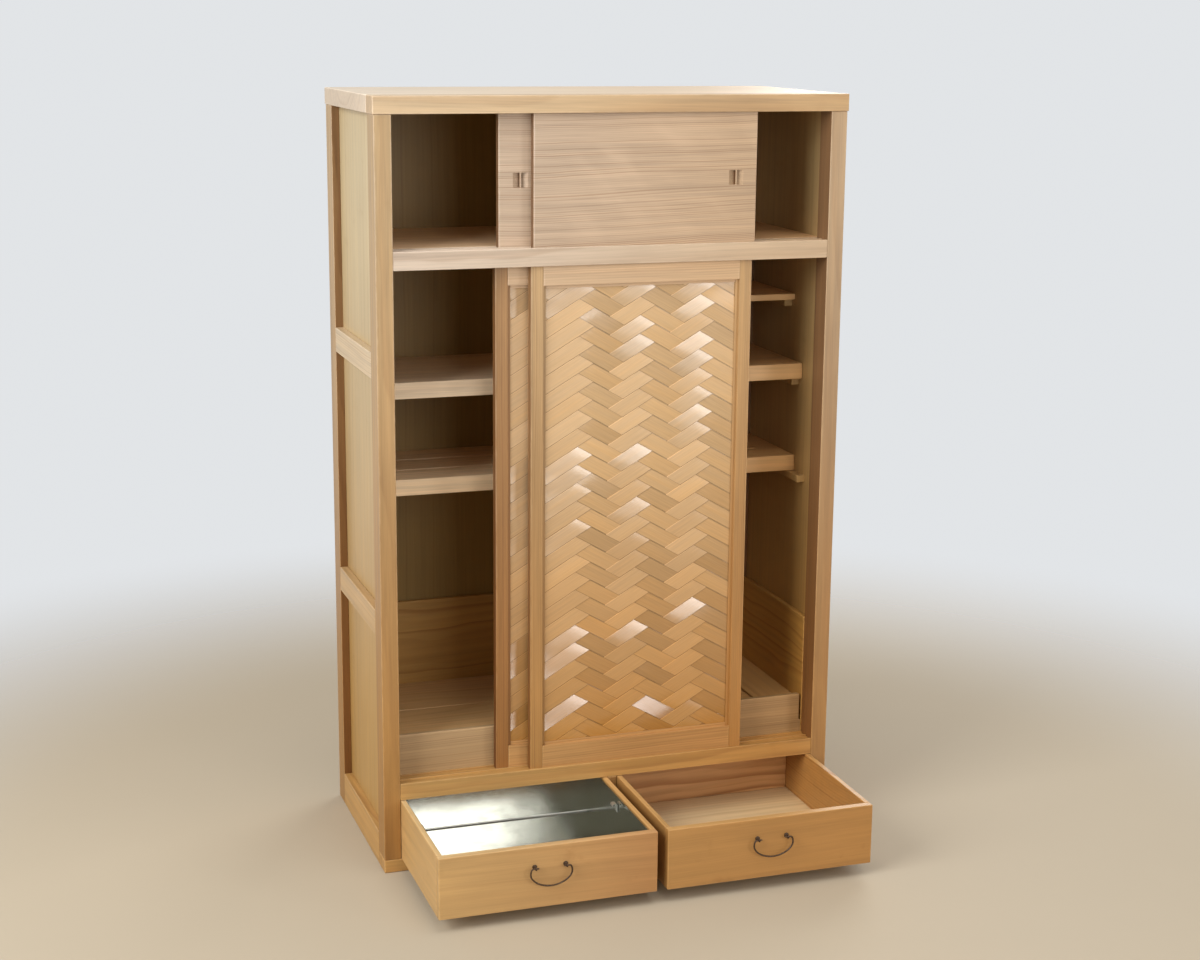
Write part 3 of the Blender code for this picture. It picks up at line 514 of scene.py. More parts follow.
# Faces with painted shade and light of their own: which boards, the way the faces look, and the tint. Faces
# in gaps and recesses get painted shade, the drawers' upward faces get painted light, and the back panel's
# outer face is lifted out of its dark inner tone.
FACE_TINTS = {
    "post_rear": ((0.0, -1.0, 0.0), "shaded"),
    "post_front_right": ((-1.0, 0.0, 0.0), "shaded"),
    "lower_door_right_stile_left": ((-1.0, 0.0, 0.0), "shaded"),
    "lower_door_left_stile_left": ((-1.0, 0.0, 0.0), "shaded"),
    # Painted light on the drawers' upward faces.
    "drawer": ((0.0, 0.0, 1.0), "handled_and_top_lit"),
    "back_panel": ((0.0, 1.0, 0.0), "outside"),
}


def face_tint(node, wood):
    """Which way a board's faces with painted shade and light look, and their tint."""
    for start, (facing, tone) in FACE_TINTS.items():
        if node.startswith(start) and not node.endswith("bottom"):
            return facing, tuple(getattr(wood, tone))
    return (0.0, 0.0, 0.0), (1.0, 1.0, 1.0)


# Boards that take on more than usual of the painted shade of the right side.
RIGHT_SHADE_POWERS = {"shelf": 2.6, "drawer_left_front": 9.0}


def right_shade_power(node):
    """How strongly a board takes on the painted shade of the right side."""
    return next((fade for start, fade in RIGHT_SHADE_POWERS.items() if node.startswith(start)), 1.0)


# From the middle of a board to the axis of its tree: along its face or behind it, and how far that varies.
RIFT_ASIDE, RIFT_PLAY, RIFT_BEHIND = 0.34, 0.10, 0.05
PLAIN_BEHIND, PLAIN_PLAY, PLAIN_ASIDE = 0.075, 0.05, 0.10


def tree_place(low, high, grain, figure, shift):
    """Turn and shift that bring the board's spot into its tree, whose axis is x."""
    size = high - low
    across = sorted((i for i in range(3) if "XYZ"[i] != grain), key=lambda i: size[i])
    thin, wide = (Vector(GRAIN_AXIS["XYZ"[i]]) for i in across)
    if figure.sawn == "rift":
        offset = wide * (RIFT_ASIDE + RIFT_PLAY * shift) + thin * RIFT_BEHIND
    else:
        offset = thin * (PLAIN_BEHIND + PLAIN_PLAY * shift) + wide * (PLAIN_ASIDE * (shift - 0.5))
    lean = figure.lean if grain == "Z" or shift > 0.5 else -figure.lean
    turn = Matrix.Rotation(lean, 3, "Y" if grain == "X" else "Z") @ Euler(GRAIN_TURN[grain]).to_matrix()
    centre = turn @ ((low + high) / 2)
    return turn.to_euler(), -centre - turn @ offset


SHADE_PLAY = 0.10  # how far the boards of one tone differ


def cedar_material(node, grain, colour, figure, wood, groups):
    """The finish of one board, with its painted light and shade."""
    low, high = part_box(node)
    luck = random.Random(node)
    shift = luck.random()
    shade = 1.0 + SHADE_PLAY * (luck.random() - 0.5)
    material, tree, shader = new_material("cedar_" + node)
    where = add_node(tree, "ShaderNodeTexCoord").outputs
    turn, place = tree_place(low, high, grain, figure, shift)
    inputs = {"Vector": where["Object"], "Rotation": turn, "Location": place}
    mapping = add_node(tree, "ShaderNodeMapping", inputs)
    inputs = {
        "Position": mapping.outputs[0], "Seed": 10.0 * luck.random(), "Wood": rgba(colour, shade),
        "Line": rgba(wood.line), "Ring Width": figure.ring, "Line Strength": figure.line,
        "Sway": figure.sway, "Ripple": figure.ripple, "Fibre": figure.fibre,
    }
    cedar = add_node(tree, "ShaderNodeGroup", inputs, node_tree=groups["figure"])
    facing, painted_face_tint = face_tint(node, wood)
    inputs = {
        "Color": cedar.outputs["Color"], "Position": where["Object"], "Normal": where["Normal"],
        "Low": low, "High": high, "Grain": GRAIN_AXIS[grain], "Smudge": figure.smudge, "Ends": figure.ends,
        "Facing": facing, "Face Tint": painted_face_tint, "Daylight": 0.0 if node == "back_panel" else 1.0,
        "Right Tone": [part ** right_shade_power(node) for part in wood.painted_right_shade],
    }
    aged_and_lit = add_node(tree, "ShaderNodeGroup", inputs, node_tree=groups["ageing_and_light"])
    dress(tree, shader, aged_and_lit.outputs["Color"], cedar.outputs["Roughness"])
    add_bump(tree, shader, cedar.outputs["Height"], 0.22, 0.0006)
    return material


# Tone of each kind of board: the cedar it is cut from, and how its own plank differs from that. The "inner"
# tone stands partly for darker wood and partly for painted shade of the interior.
TONES = {
    "top": ("pale", (0.94, 1.02, 1.12)),
    "head": ("pale", (0.80, 0.765, 0.665)),
    "rail": ("pale", (0.80, 0.87, 1.02)),
    "post_left": ("pale", (0.63, 0.56, 0.41)),
    "post_right": ("pale", (0.71, 0.72, 0.75)),
    "panel": ("pale", (0.79, 0.82, 0.69)),
    "batten": ("pale", (0.89, 0.94, 0.92)),
    "sill": ("pale", (0.87, 0.87, 0.75)),
    "plank": ("pale", (0.745, 0.755, 0.82)),
    "shelf": ("pale", (1.28, 1.44, 1.64)),
    "tray": ("pale", (1.29, 1.88, 3.45)),
    "frame": ("warm", (1.05, 1.18, 1.55)),
    "stile": ("warm", (0.83, 0.87, 0.90)),
    "far_stile": ("warm", (0.59, 0.52, 0.44)),
    "riser": ("warm", (0.91, 1.22, 2.20)),
    "drawer": ("warm", (0.88, 1.00, 1.22)),
    "drawer_pale": ("warm", (1.06, 1.34, 1.95)),
    # Partly darker wood inside, partly painted shade of the interior; the outer face is lifted back by a tint
    # of its own.
    "inner": ("warm", (0.545, 0.56, 0.335)),
    "ledge": ("warm", (1.42, 1.53, 1.88)),
    "splash": ("warm", (1.00, 1.13, 1.00)),
    "loose": ("warm", (1.16, 1.50, 2.40)),
    "reddish": ("warm", (1.21, 1.50, 2.75)),
    "shade": ("dark", (1.00, 1.05, 1.05)),
}

# Board, grain direction, tone and figure.
CARCASS_BOARDS = [
    ("top_front_rail", "X", "head", "quiet"), ("top_board", "X", "top", "soft"),
    ("base_front_rail", "X", "sill", "quiet"), ("middle_rail", "X", "rail", "quiet"),
    ("sill_rail", "X", "sill", "quiet"), ("back_panel", "Z", "inner", "soft"),
    ("base_board", "X", "shade", "soft"),
]
for end in SIDES:
    CARCASS_BOARDS += [
        ("post_front_" + end, "Z", "post_" + end, "quiet"), ("post_rear_" + end, "Z", "post_" + end, "quiet"),
        ("side_panel_" + end, "Z", "panel", "still"), ("side_upper_batten_" + end, "Y", "batten", "quiet"),
        ("side_lower_batten_" + end, "Y", "batten", "quiet"),
        ("side_bottom_rail_" + end, "Y", "sill", "quiet"),
    ]

INNER_BOARDS = [
    ("middle_shelf", "X", "ledge", "soft"), ("floor_board", "X", "shade", "soft"),
    ("riser_board", "X", "riser", "quiet"), ("shelf_upper", "X", "shelf", "quiet"),
    ("shelf_lower", "X", "shelf", "quiet"), ("shelf_corner", "X", "shelf", "quiet"),
    ("cover_board_left", "X", "loose", "soft"), ("cover_board_right", "Y", "loose", "soft"),
    ("splash_board_back", "X", "splash", "arched"), ("splash_board_left", "Y", "splash", "arched"),
    ("splash_board_right", "Y", "splash", "arched"), ("drawer_divider", "Y", "drawer", "quiet"),
]

DOOR_BOARDS = [("upper_door_left", "X", "plank", "fine"), ("upper_door_right", "X", "plank", "fine")]
for end in SIDES:
    stile = "far_stile" if end == "left" else "stile"
    DOOR_BOARDS += [(f"lower_door_{end}_stile_{side}", "Z", stile, "quiet") for side in SIDES]
    DOOR_BOARDS += [(f"lower_door_{end}_rail_{side}", "X", "frame", "quiet") for side in ("top", "bottom")]

DRAWER_BOARDS = [
    ("drawer_left_back", "X", "drawer", "soft"), ("drawer_right_back", "X", "reddish", "flame"),
    ("drawer_left_side_right", "Y", "drawer", "quiet"), ("drawer_right_side_right", "Y", "drawer", "slant"),
]
for end in SIDES:
    tone = "drawer_pale" if end == "left" else "drawer"
    DRAWER_BOARDS += [
        (f"drawer_{end}_front", "X", tone, "handled_and_top_lit"), (f"drawer_{end}_side_left", "Y", tone, "handled_and_top_lit"),
        (f"drawer_{end}_bottom", "X", "tray", "soft"),
    ]


def dress_boards(boards, wood):
    """Give each board of a list its own cedar finish."""
    groups = {
        "figure": bpy.data.node_groups.get("Cedar figure") or cedar_figure_group(),
        "ageing_and_light": bpy.data.node_groups.get("Board ageing") or board_ageing_and_light_group(wood),
    }
    cedars = {"pale": wood.pale, "warm": wood.warm, "dark": wood.dark}
    for node, grain, tone, figure in boards:
        if node not in NODES:
            raise RuntimeError("there is no board named " + node)
        cedar, change = TONES[tone]
        colour = [part * factor for part, factor in zip(cedars[cedar], change)]
        coat(NODES[node], cedar_material(node, grain, colour, FIGURES[figure], wood, groups))


# ---------------------------------------------------------------- modelling helpers

def clear_selection():
    """Leave edit mode and deselect every object."""
    if bpy.context.mode != "OBJECT":
        bpy.ops.object.mode_set(mode="OBJECT")
    bpy.ops.object.select_all(action="DESELECT")


def take(piece):
    """Make one piece the only selected and active one."""
    clear_selection()
    piece.select_set(True)
    bpy.context.view_layer.objects.active = piece


def started(name):
    """Name the piece that was just added and put its place into its mesh."""
    piece = bpy.context.object
    piece.name = name
    piece.data.name = name
    bpy.ops.object.transform_apply(location=True, rotation=True, scale=True)
    return piece


def block(name, low, high):
    """A plain block between two corners."""
    clear_selection()
    bpy.ops.mesh.primitive_cube_add(size=1.0)
    piece = started(name)
    piece.data.transform(Matrix.Translation((low + high) / 2) @ Matrix.Diagonal((high - low).to_4d()))
    return piece


def edit(piece):
    """Open a piece in edit mode with nothing selected."""
    take(piece)
    bpy.ops.object.mode_set(mode="EDIT")
    bpy.ops.mesh.select_all(action="DESELECT")


def pick(piece, kind, test):
    """Select the vertices, edges or faces in edit mode that pass a test."""
    modes = {"VERT": (True, False, False), "EDGE": (False, True, False), "FACE": (False, False, True)}
    bpy.context.tool_settings.mesh_select_mode = modes[kind]
    bpy.ops.mesh.select_all(action="DESELECT")
    shell = bmesh.from_edit_mesh(piece.data)
    parts = {"VERT": shell.verts, "EDGE": shell.edges, "FACE": shell.faces}[kind]
    found = 0
    for part in parts:
        if test(part):
            part.select_set(True)
            found += 1
    if not found:
        raise RuntimeError("nothing was found to select on " + piece.name)
    shell.select_flush_mode()
    bmesh.update_edit_mesh(piece.data)


def middle(part):
    """The middle of an edge or a face."""
    points = [vertex.co for vertex in part.verts]
    return sum(points, Vector()) / len(points)


def mend(merge=0.0):
    """Merge what lies together and turn all faces outwards, in edit mode."""
    bpy.ops.mesh.select_all(action="SELECT")
    if merge:
        bpy.ops.mesh.remove_doubles(threshold=merge)
    bpy.ops.mesh.normals_make_consistent(inside=False)


def draw_out(move):
    """Extrude what is selected in edit mode."""
    bpy.ops.mesh.extrude_region_move(TRANSFORM_OT_translate={"value": move})


def apply_modifier(piece, name, kind, **settings):
    """Add a modifier and apply it."""
    take(piece)
    modifier = piece.modifiers.new(name, kind)
    for key, value in settings.items():
        setattr(modifier, key, value)
    bpy.ops.object.modifier_apply(modifier=modifier.name)


def join(pieces, name):
    """Join pieces into the first one."""
    clear_selection()
    for piece in pieces:
        piece.select_set(True)
    bpy.context.view_layer.objects.active = pieces[0]
    bpy.ops.object.join()
    pieces[0].name = name
    pieces[0].data.name = name
    return pieces[0]


def copy_shifted(piece, name, shift):
    """A copy with its own mesh, moved within its mesh."""
    twin = piece.copy()
    twin.data = piece.data.copy()
    twin.name = name
    twin.data.name = name
    twin.data.transform(Matrix.Translation(shift))
    bpy.context.collection.objects.link(twin)
    return twin


def coat(piece, material):
    """Give a piece one material."""
    piece.data.materials.clear()
    piece.data.materials.append(material)


def smooth(piece, degrees):
    """Shade a piece smooth, apart from its sharp edges."""
    take(piece)
    bpy.ops.object.shade_smooth_by_angle(angle=math.radians(degrees))


def settle(piece, body, node):
    """Let a finished piece ride on its body and stand for its CAD node."""
    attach(piece, body)
    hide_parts(node)


# ---------------------------------------------------------------- woven door panels

WEAVE_ORIGIN_X = 0.161  # from the panel's left edge to a crossing where both kinds of strip meet
WEAVE_ORIGIN_Z = 0.7565  # from the panel's lower edge to that crossing
STEPS_PER_TURN = 20
STRIP_MAP = 0.98  # share of its row in the strip map that a strip takes up
STRIP_FIBRES = (12.0, 15.0, 1.0)  # waves per metre along a strip, and waves across it
STRIP_CLOUDS = (5.0, 3.2, 1.0)
WARM_STRIP = (0.98, 0.88, 0.70)
# Painted shade: the falling strips are a little darker and warmer than the rising ones.
FALLING_SHADE = (0.99, 0.95, 0.86)
# Painted light: the strips are warmer and darker near the floor, from its warm bounce, and paler near the
# top.
PAINTED_LOW_BOUNCE = (0.71, 0.58, 0.34)
PAINTED_HIGH_LIGHT = (1.00, 1.15, 1.55)
STRIP_HEIGHTS = (0.10, 0.90)  # heights between which the painted light changes
PATCH_PLAY = 0.030  # how far the slopes of the patches differ


def crossing_length(weave):
    """From one crossing of the strips to the next, along a strip."""
    return weave.pitch / math.sin(2 * weave.slope)


def slanted(tree, right, up, right_share, up_share, luck):
    """Slope of a patch along one of its directions, with a little play."""
    return weighed(tree, 0.0, (right, right_share), (up, up_share), (centred(tree, luck), PATCH_PLAY))


def strip_material(name, weave, over, painted_brightness):
    """Cedar strips: u runs along a strip in metres, parallel to the crossing strips, v counts the strips."""
    material, tree, shader = new_material(name)
    uv = split(tree, add_node(tree, "ShaderNodeUVMap", uv_map="strip").outputs[0])
    strip = maths(tree, "FLOOR", uv[1])
    across = maths(tree, "FRACT", uv[1])
    crossing = crossing_length(weave)
    patch = maths(tree, "FLOOR", plus(tree, maths(tree, "DIVIDE", uv[0], 4 * crossing), 0.375))
    gap = minus(tree, uv[0], maths(tree, "MULTIPLY_ADD", patch, 4 * crossing, crossing / 2))
    side = times(tree, centred(tree, across), weave.strip_width / STRIP_MAP)
    along = weighed(tree, gap, (side, -over / math.tan(2 * weave.slope)))
    tag = combined(tree, patch, strip, over * 10.0)
    patch_luck = lots(tree, tag, "3D")
    luck = split(tree, patch_luck["Color"])
    spot = combined(tree, along, uv[1], times(tree, strip, 3.7))
    fine = centred(tree, mottle(tree, spot, STRIP_FIBRES, 3.0, 0.6))
    broad = centred(tree, mottle(tree, spot, STRIP_CLOUDS))

    # The level is raised by painted light on the rising strips and lowered by painted shade on the falling
    # ones.
    level = weighed(
        tree, 1.0 + painted_brightness, (centred(tree, patch_luck["Value"]), 0.22),
        (centred(tree, lots(tree, strip)["Value"]), 0.10), (fine, 0.34), (broad, 0.16),
    )
    # Painted shadow along each strip's lower edge; a painted highlight along the upper edge of the rising
    # strips and a painted shadow along that of the falling ones.
    foot_edge_shadow = ease(tree, across, 0.012, 0.045, 0.42, 1.0)
    head_edge_light_and_shade = ease(tree, across, 0.950, 0.985, 1.0, 1.40 if over > 0 else 0.66)
    level = times(tree, level, times(tree, foot_edge_shadow, head_edge_light_and_shade))
    warmth = weighed(tree, 0.0, (luck[2], 0.5), (broad, 0.8))
    warm = [part * factor for part, factor in zip(weave.colour, WARM_STRIP)]
    colour = scaled(tree, tint(tree, warmth, rgba(weave.colour), rgba(warm)), level)
    # Painted shade on the falling strips.
    if over < 0:
        colour = multiplied(tree, colour, FALLING_SHADE)
    place = split(tree, object_spot(tree))
    # Painted light by height.
    colour = painted_light_graded(tree, ease(tree, place[2], *STRIP_HEIGHTS), colour, PAINTED_LOW_BOUNCE, PAINTED_HIGH_LIGHT)
    dress(tree, shader, colour, weighed(tree, 0.20, (fine, 0.10)))
    shader.inputs["Specular IOR Level"].default_value = 0.75

    share = weave.lifted if over > 0 else weave.lifted * 0.10
    lifted = ease(tree, luck[0], share * 0.4, share * 1.9, 1.12, 0.0)
    right = times(tree, maths(tree, "MULTIPLY_ADD", place[0], -0.26, 0.125), lifted)
    up = times(tree, maths(tree, "MULTIPLY_ADD", place[2], -0.26, 0.25), lifted)
    turned = slanted(tree, right, up, math.cos(weave.slope), over * math.sin(weave.slope), luck[1])
    rolled = slanted(tree, right, up, -over * math.sin(weave.slope), math.cos(weave.slope), luck[2])
    slant = plus(tree, times(tree, along, turned), times(tree, side, rolled))
    add_bump(tree, shader, minus(tree, times(tree, fine, 0.00003), slant), 1.0, 1.0)
    return material


def backing_material(weave):
    """The thin board behind the strips."""
    material, tree, shader = new_material("weave_backing")
    fibre = mottle(tree, object_spot(tree), (160.0, 160.0, 5.0), 3.0)
    colour = tint(tree, fibre, rgba(weave.colour, 0.42), rgba(weave.colour, 0.66))
    dress(tree, shader, colour, ease(tree, fibre, 0.2, 0.8, 0.55, 0.75))
    add_bump(tree, shader, fibre, 0.2, 0.0005)
    return material


def wave_turn(distance, weave):
    """Where a strip is in its wave: 0 where the rising strips lie on top, pi where the falling ones do."""
    crossing = crossing_length(weave)
    return 2 * math.pi * (distance - crossing / 2) / (4 * crossing)


WAVE_FLATNESS = 1.8  # how flat a strip lies between its changes


def wave_level(turn, over, weave):
    """Height of a strip's middle: over two strips, then under two."""
    return over * weave.rise * math.tanh(WAVE_FLATNESS * math.cos(turn)) / math.tanh(WAVE_FLATNESS)


def over_under(distance, side, over, weave):
    """Height of a strip, twisted a little where it changes."""
    turn = wave_turn(distance, weave)
    twist = math.sin(turn) * abs(math.sin(turn)) * weave.strip_thick
    return wave_level(turn, over, weave) - twist * side / weave.strip_width


def hold_edges(spot, distance, over, weave, first, last):
    """At the left edge the rising strips stay on top, at the right edge the falling ones."""
    turn = wave_turn(distance, weave)
    for ahead, held in ((first - spot.x, 0.0), (spot.x - last, math.pi)):
        if ahead > 0.0:
            spot.y += wave_level(turn, over, weave) - wave_level(held, over, weave)


def one_strip(name, start, end, over, weave):
    """One waved strip along x, from start to end, with its front towards -y."""
    crossing = crossing_length(weave)
    step = 4 * crossing / STEPS_PER_TURN
    count = math.ceil((end - start) / step)
    clear_selection()
    turn = (math.pi / 2, 0.0, 0.0)
    bpy.ops.mesh.primitive_grid_add(x_subdivisions=count, y_subdivisions=2, size=1.0, rotation=turn)
    strip = started(name)
    strip.data.transform(Matrix.Diagonal((step * count, 1.0, weave.strip_width, 1.0)))
    strip.data.transform(Matrix.Translation((start + step * count / 2, 0.0, 0.0)))
    edit(strip)
    pick(strip, "VERT", lambda vertex: abs(vertex.co.z) < weave.strip_width * 0.1)
    bpy.ops.transform.translate(value=(0.0, -weave.crown, 0.0))
    clear_selection()
    mesh = strip.data
    while mesh.uv_layers:
        mesh.uv_layers.remove(mesh.uv_layers[0])
    layer = mesh.uv_layers.new(name="strip")
    ahead = 0.0 if over > 0 else -2 * crossing
    for loop in mesh.loops:
        spot = mesh.vertices[loop.vertex_index].co
        layer.data[loop.index].uv = (spot.x + ahead, spot.z / weave.strip_width * STRIP_MAP + 0.5)
    for vertex in mesh.vertices:
        vertex.co.y -= over_under(vertex.co.x, vertex.co.z, over, weave)
        vertex.co.x -= over * vertex.co.z / math.tan(2 * weave.slope)
    return strip


def lean_patches(strips, per_strip, over, weave, luck):
    """Lean every visible patch of every strip a little to its side, each in its own way."""
    crossing = crossing_length(weave)
    period = 4 * crossing
    first = crossing / 2 if over > 0 else crossing * 2.5
    points = strips.data.vertices
    row = [points[k].co.copy() for k in range(per_strip)]
    for number in range(len(points) // per_strip):
        leans = {}
        for k in range(per_strip):
            side = row[k].z
            along = row[k].x + over * side / math.tan(2 * weave.slope) - first
            patch = round(along / period)
            if patch not in leans:
                leans[patch] = luck.gauss(0.0, 0.6) * weave.tilt
            gap = along - patch * period
            if abs(gap) < period / 4:
                hold = math.cos(math.pi * gap / (period / 2))
                points[number * per_strip + k].co.y += leans[patch] * side * hold


EDGE_ROOM = 0.0003  # between the weave and the frame round it
FRONT_ROOM = 0.0006  # from the panel's front to the strips
BACK_ROOM = 0.0004  # from the strips to their backing
OVERHANG = 0.03  # how far the strips reach past the panel before they are cut


def lay_strips(name, over, low, high, origin, weave, luck):
    """All strips that run one way, cut to the panel between two corners."""
    down = weave.pitch / math.cos(weave.slope)
    column = 4 * crossing_length(weave) * math.cos(weave.slope)
    first, last = (1 / 8 - 1) * column, (5 / 8 + 1) * column
    start = (low.x - origin.x - OVERHANG) / math.cos(weave.slope)
    end = (high.x - origin.x + OVERHANG) / math.cos(weave.slope)
    strips = one_strip(name, start, end, over, weave)
    per_strip = len(strips.data.vertices)
    rise_ahead = math.tan(weave.slope) * max(abs(low.x - origin.x), abs(high.x - origin.x)) + down
    top_row = math.ceil((high.z - origin.z + rise_ahead) / down)
    rows = top_row + math.ceil((origin.z - low.z + rise_ahead) / down) + 1
    apply_modifier(
        strips, "rows", "ARRAY", count=rows, use_relative_offset=False, use_constant_offset=True,
        constant_offset_displace=(0.0, 0.0, 0.0), offset_v=1.0,
    )
    lean_patches(strips, per_strip, over, weave, luck)
    turn = Matrix.Rotation(-over * weave.slope, 4, "Y")
    for number in range(rows):
        drop = top_row - number
        place = origin + Vector((-weave.drift * drop, 0.0, down * drop))
        for k in range(number * per_strip, (number + 1) * per_strip):
            vertex = strips.data.vertices[k]
            distance = vertex.co.x + over * vertex.co.z / math.tan(2 * weave.slope)
            vertex.co = turn @ vertex.co + place
            hold_edges(vertex.co, distance, over, weave, place.x + first, place.x + last)
    edit(strips)
    cuts = (
        ((low.x + EDGE_ROOM, 0.0, 0.0), (-1.0, 0.0, 0.0)), ((high.x - EDGE_ROOM, 0.0, 0.0), (1.0, 0.0, 0.0)),
        ((0.0, 0.0, low.z + EDGE_ROOM), (0.0, 0.0, -1.0)), ((0.0, 0.0, high.z - EDGE_ROOM), (0.0, 0.0, 1.0)),
    )
    for spot, outward in cuts:
        bpy.ops.mesh.select_all(action="SELECT")
        bpy.ops.mesh.bisect(plane_co=spot, plane_no=outward, clear_outer=True, clear_inner=False)
    apply_modifier(strips, "thickness", "SOLIDIFY", thickness=weave.strip_thick, offset=0.0)
    return strips


def weave_panel(side, weave, materials, luck):
    """The woven panel of one lower door."""
    node = f"lower_door_{side}_woven_panel"
    low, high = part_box(node)
    front_y = low.y + weave.rise + weave.strip_thick / 2 + FRONT_ROOM
    origin = Vector((low.x + WEAVE_ORIGIN_X, front_y, low.z + WEAVE_ORIGIN_Z))
    layers = []
    for over, way in ((1, "rising"), (-1, "falling")):
        strips = lay_strips(f"strips_{side}_{way}", over, low, high, origin, weave, luck)
        strips.data.materials.append(materials[way])
        layers.append(strips)

    back_y = origin.y + weave.rise + weave.strip_thick + BACK_ROOM
    room = Vector((EDGE_ROOM, 0.0, EDGE_ROOM))
    board = block("backing_" + side, Vector((low.x, back_y, low.z)) + room, high - room)
    edit(board)
    pick(board, "EDGE", lambda line: all(vertex.co.y > (back_y + high.y) / 2 for vertex in line.verts))
    bpy.ops.mesh.bevel(offset=0.0008, segments=2, affect="EDGES")
    clear_selection()
    board.data.uv_layers[0].name = "strip"
    board.data.materials.append(materials["backing"])
    panel = join(layers + [board], "woven_panel_" + side)
    smooth(panel, 35)
    settle(panel, "lower_door_" + side, node)


# ---------------------------------------------------------------- drawer handles

def iron_material(handles):
    """Browned wire with a few rubbed spots."""
    material, tree, shader = new_material("browned_iron")
    spot = object_spot(tree)
    rust = mottle(tree, spot, (420.0, 420.0, 420.0), 4.0, 0.62)
    wide = mottle(tree, spot, (90.0, 90.0, 90.0))
    rubbed = [part * 2.4 + 0.02 for part in handles.colour]
    colour = tint(tree, ease(tree, rust, 0.42, 0.74), rgba(handles.colour), rgba(rubbed))
    colour = tint(tree, ease(tree, wide, 0.35, 0.75), colour, rgba(handles.colour, 1.5))
    dress(tree, shader, colour, ease(tree, rust, 0.3, 0.7, 0.58, 0.36))
    shader.inputs["Metallic"].default_value = 0.55
    add_bump(tree, shader, rust, 0.25, 0.0003)
    return material


PIN_REACH = 0.0055  # how far a pin reaches on either side of its eye
PIN_EASE = 0.0030  # how straight a pin runs
BEND_EASE = 0.0023  # how far a pin runs on into its bend


def bend_bail(name, axis, handles, material):
    """A wire bail that hangs from its two pins, with its ends turned in through the eyes."""
    half = handles.width / 2
    drop = handles.drop
    shoulder = drop * 0.30
    tip = handles.eye_spacing / 2 - PIN_REACH
    bend = handles.eye_spacing / 2 + PIN_REACH
    # Each point, where the wire comes from and where it goes, and how thick it is there.
    route = [
        ((tip, 0.0), (tip - PIN_EASE, 0.0), (tip + PIN_EASE, 0.0), 0.86),
        ((bend, 0.0), (bend - PIN_EASE, 0.0), (bend + BEND_EASE, 0.0), 0.95),
        ((half, -shoulder), (half, -shoulder * 0.42), (half, -shoulder - drop * 0.34), 1.0),
        ((0.0, -drop), (half * 0.55, -drop), (-half * 0.55, -drop), 1.0),
    ]
    for spot, before, after, thick in reversed(route[:3]):
        route.append(((-spot[0], spot[1]), (-after[0], after[1]), (-before[0], before[1]), thick))
    clear_selection()
    bpy.ops.curve.primitive_bezier_curve_add(radius=0.01)
    bail = bpy.context.object
    bail.name = name
    curve = bail.data
    curve.dimensions = "3D"
    spline = curve.splines[0]
    spline.bezier_points.add(len(route) - len(spline.bezier_points))
    spline.resolution_u = 14
    for point, (spot, before, after, thick) in zip(spline.bezier_points, route):
        point.handle_left_type = "FREE"
        point.handle_right_type = "FREE"
        point.co = axis + Vector((spot[0], 0.0, spot[1]))
        point.handle_left = axis + Vector((before[0], 0.0, before[1]))
        point.handle_right = axis + Vector((after[0], 0.0, after[1]))
        point.radius = thick
    curve.bevel_depth = handles.wire
    curve.bevel_resolution = 5
    curve.use_fill_caps = True
    take(bail)
    bpy.ops.object.transform_apply(location=True, rotation=True, scale=True)
    bpy.ops.object.convert(target="MESH")
    bail = bpy.context.object
    edit(bail)
    pick(bail, "FACE", lambda face: len(face.verts) == 3)
    bpy.ops.mesh.inset(thickness=handles.wire * 0.35, depth=handles.wire * 0.25)
    mend(0.00001)
    clear_selection()
    bail.data.name = name
    coat(bail, material)
    smooth(bail, 50)
    return bail


PLATE_THICK = 0.0008
PLATE_RIM = 0.0006  # flat rim round a plate's dome
DOME_WIDTH, DOME_RISE = 0.0010, 0.0006
STEM_RADIUS, STEM_FOOT = 0.0017, 0.0004
ON_ITS_SIDE = math.pi / 2


def forge_eye(name, place, foot_y, handles, material):
    """An eye: a round plate on the board, a stem, and a ring that the wire runs through."""
    reach = place.y - foot_y
    clear_selection()
    bpy.ops.mesh.primitive_cylinder_add(
        vertices=32, radius=handles.plate, depth=PLATE_THICK, rotation=(ON_ITS_SIDE, 0.0, 0.0),
        location=(place.x, foot_y - PLATE_THICK / 2, place.z),
    )
    plate = started(name)
    edit(plate)
    front_y = foot_y - PLATE_THICK
    pick(plate, "FACE", lambda face: len(face.verts) > 4 and middle(face).y < front_y + 0.0001)
    bpy.ops.mesh.inset(thickness=PLATE_RIM, depth=0.0)
    bpy.ops.mesh.inset(thickness=DOME_WIDTH, depth=DOME_RISE)
    bpy.ops.mesh.inset(thickness=handles.plate - PLATE_RIM - DOME_WIDTH - STEM_RADIUS, depth=STEM_FOOT)
    draw_out((0.0, reach + handles.ring * 0.72 + PLATE_THICK + DOME_RISE + STEM_FOOT, 0.0))
    pick(plate, "EDGE", lambda line: all(
        abs(vertex.co.y - front_y) < 0.00005 and (vertex.co.xz - place.xz).length > handles.plate * 0.97
        for vertex in line.verts
    ))
    bpy.ops.mesh.bevel(offset=0.0003, segments=2, affect="EDGES")
    clear_selection()
    around = (handles.ring + handles.hole) / 2
    thick = handles.ring - around
    bpy.ops.mesh.primitive_torus_add(
        major_radius=around, minor_radius=thick, major_segments=32, minor_segments=14,
        location=place, rotation=(0.0, ON_ITS_SIDE, 0.0),
    )
    ring = started(name + "_ring")
    edit(ring)
    pick(ring, "VERT", lambda vertex: abs(vertex.co.x - place.x) > thick * 0.6)
    bpy.ops.transform.resize(value=(1.25, 1.0, 1.0), center_override=place)
    eye = join([plate, ring], name)
    coat(eye, material)
    smooth(eye, 40)
    return eye


# ---------------------------------------------------------------- metal liner

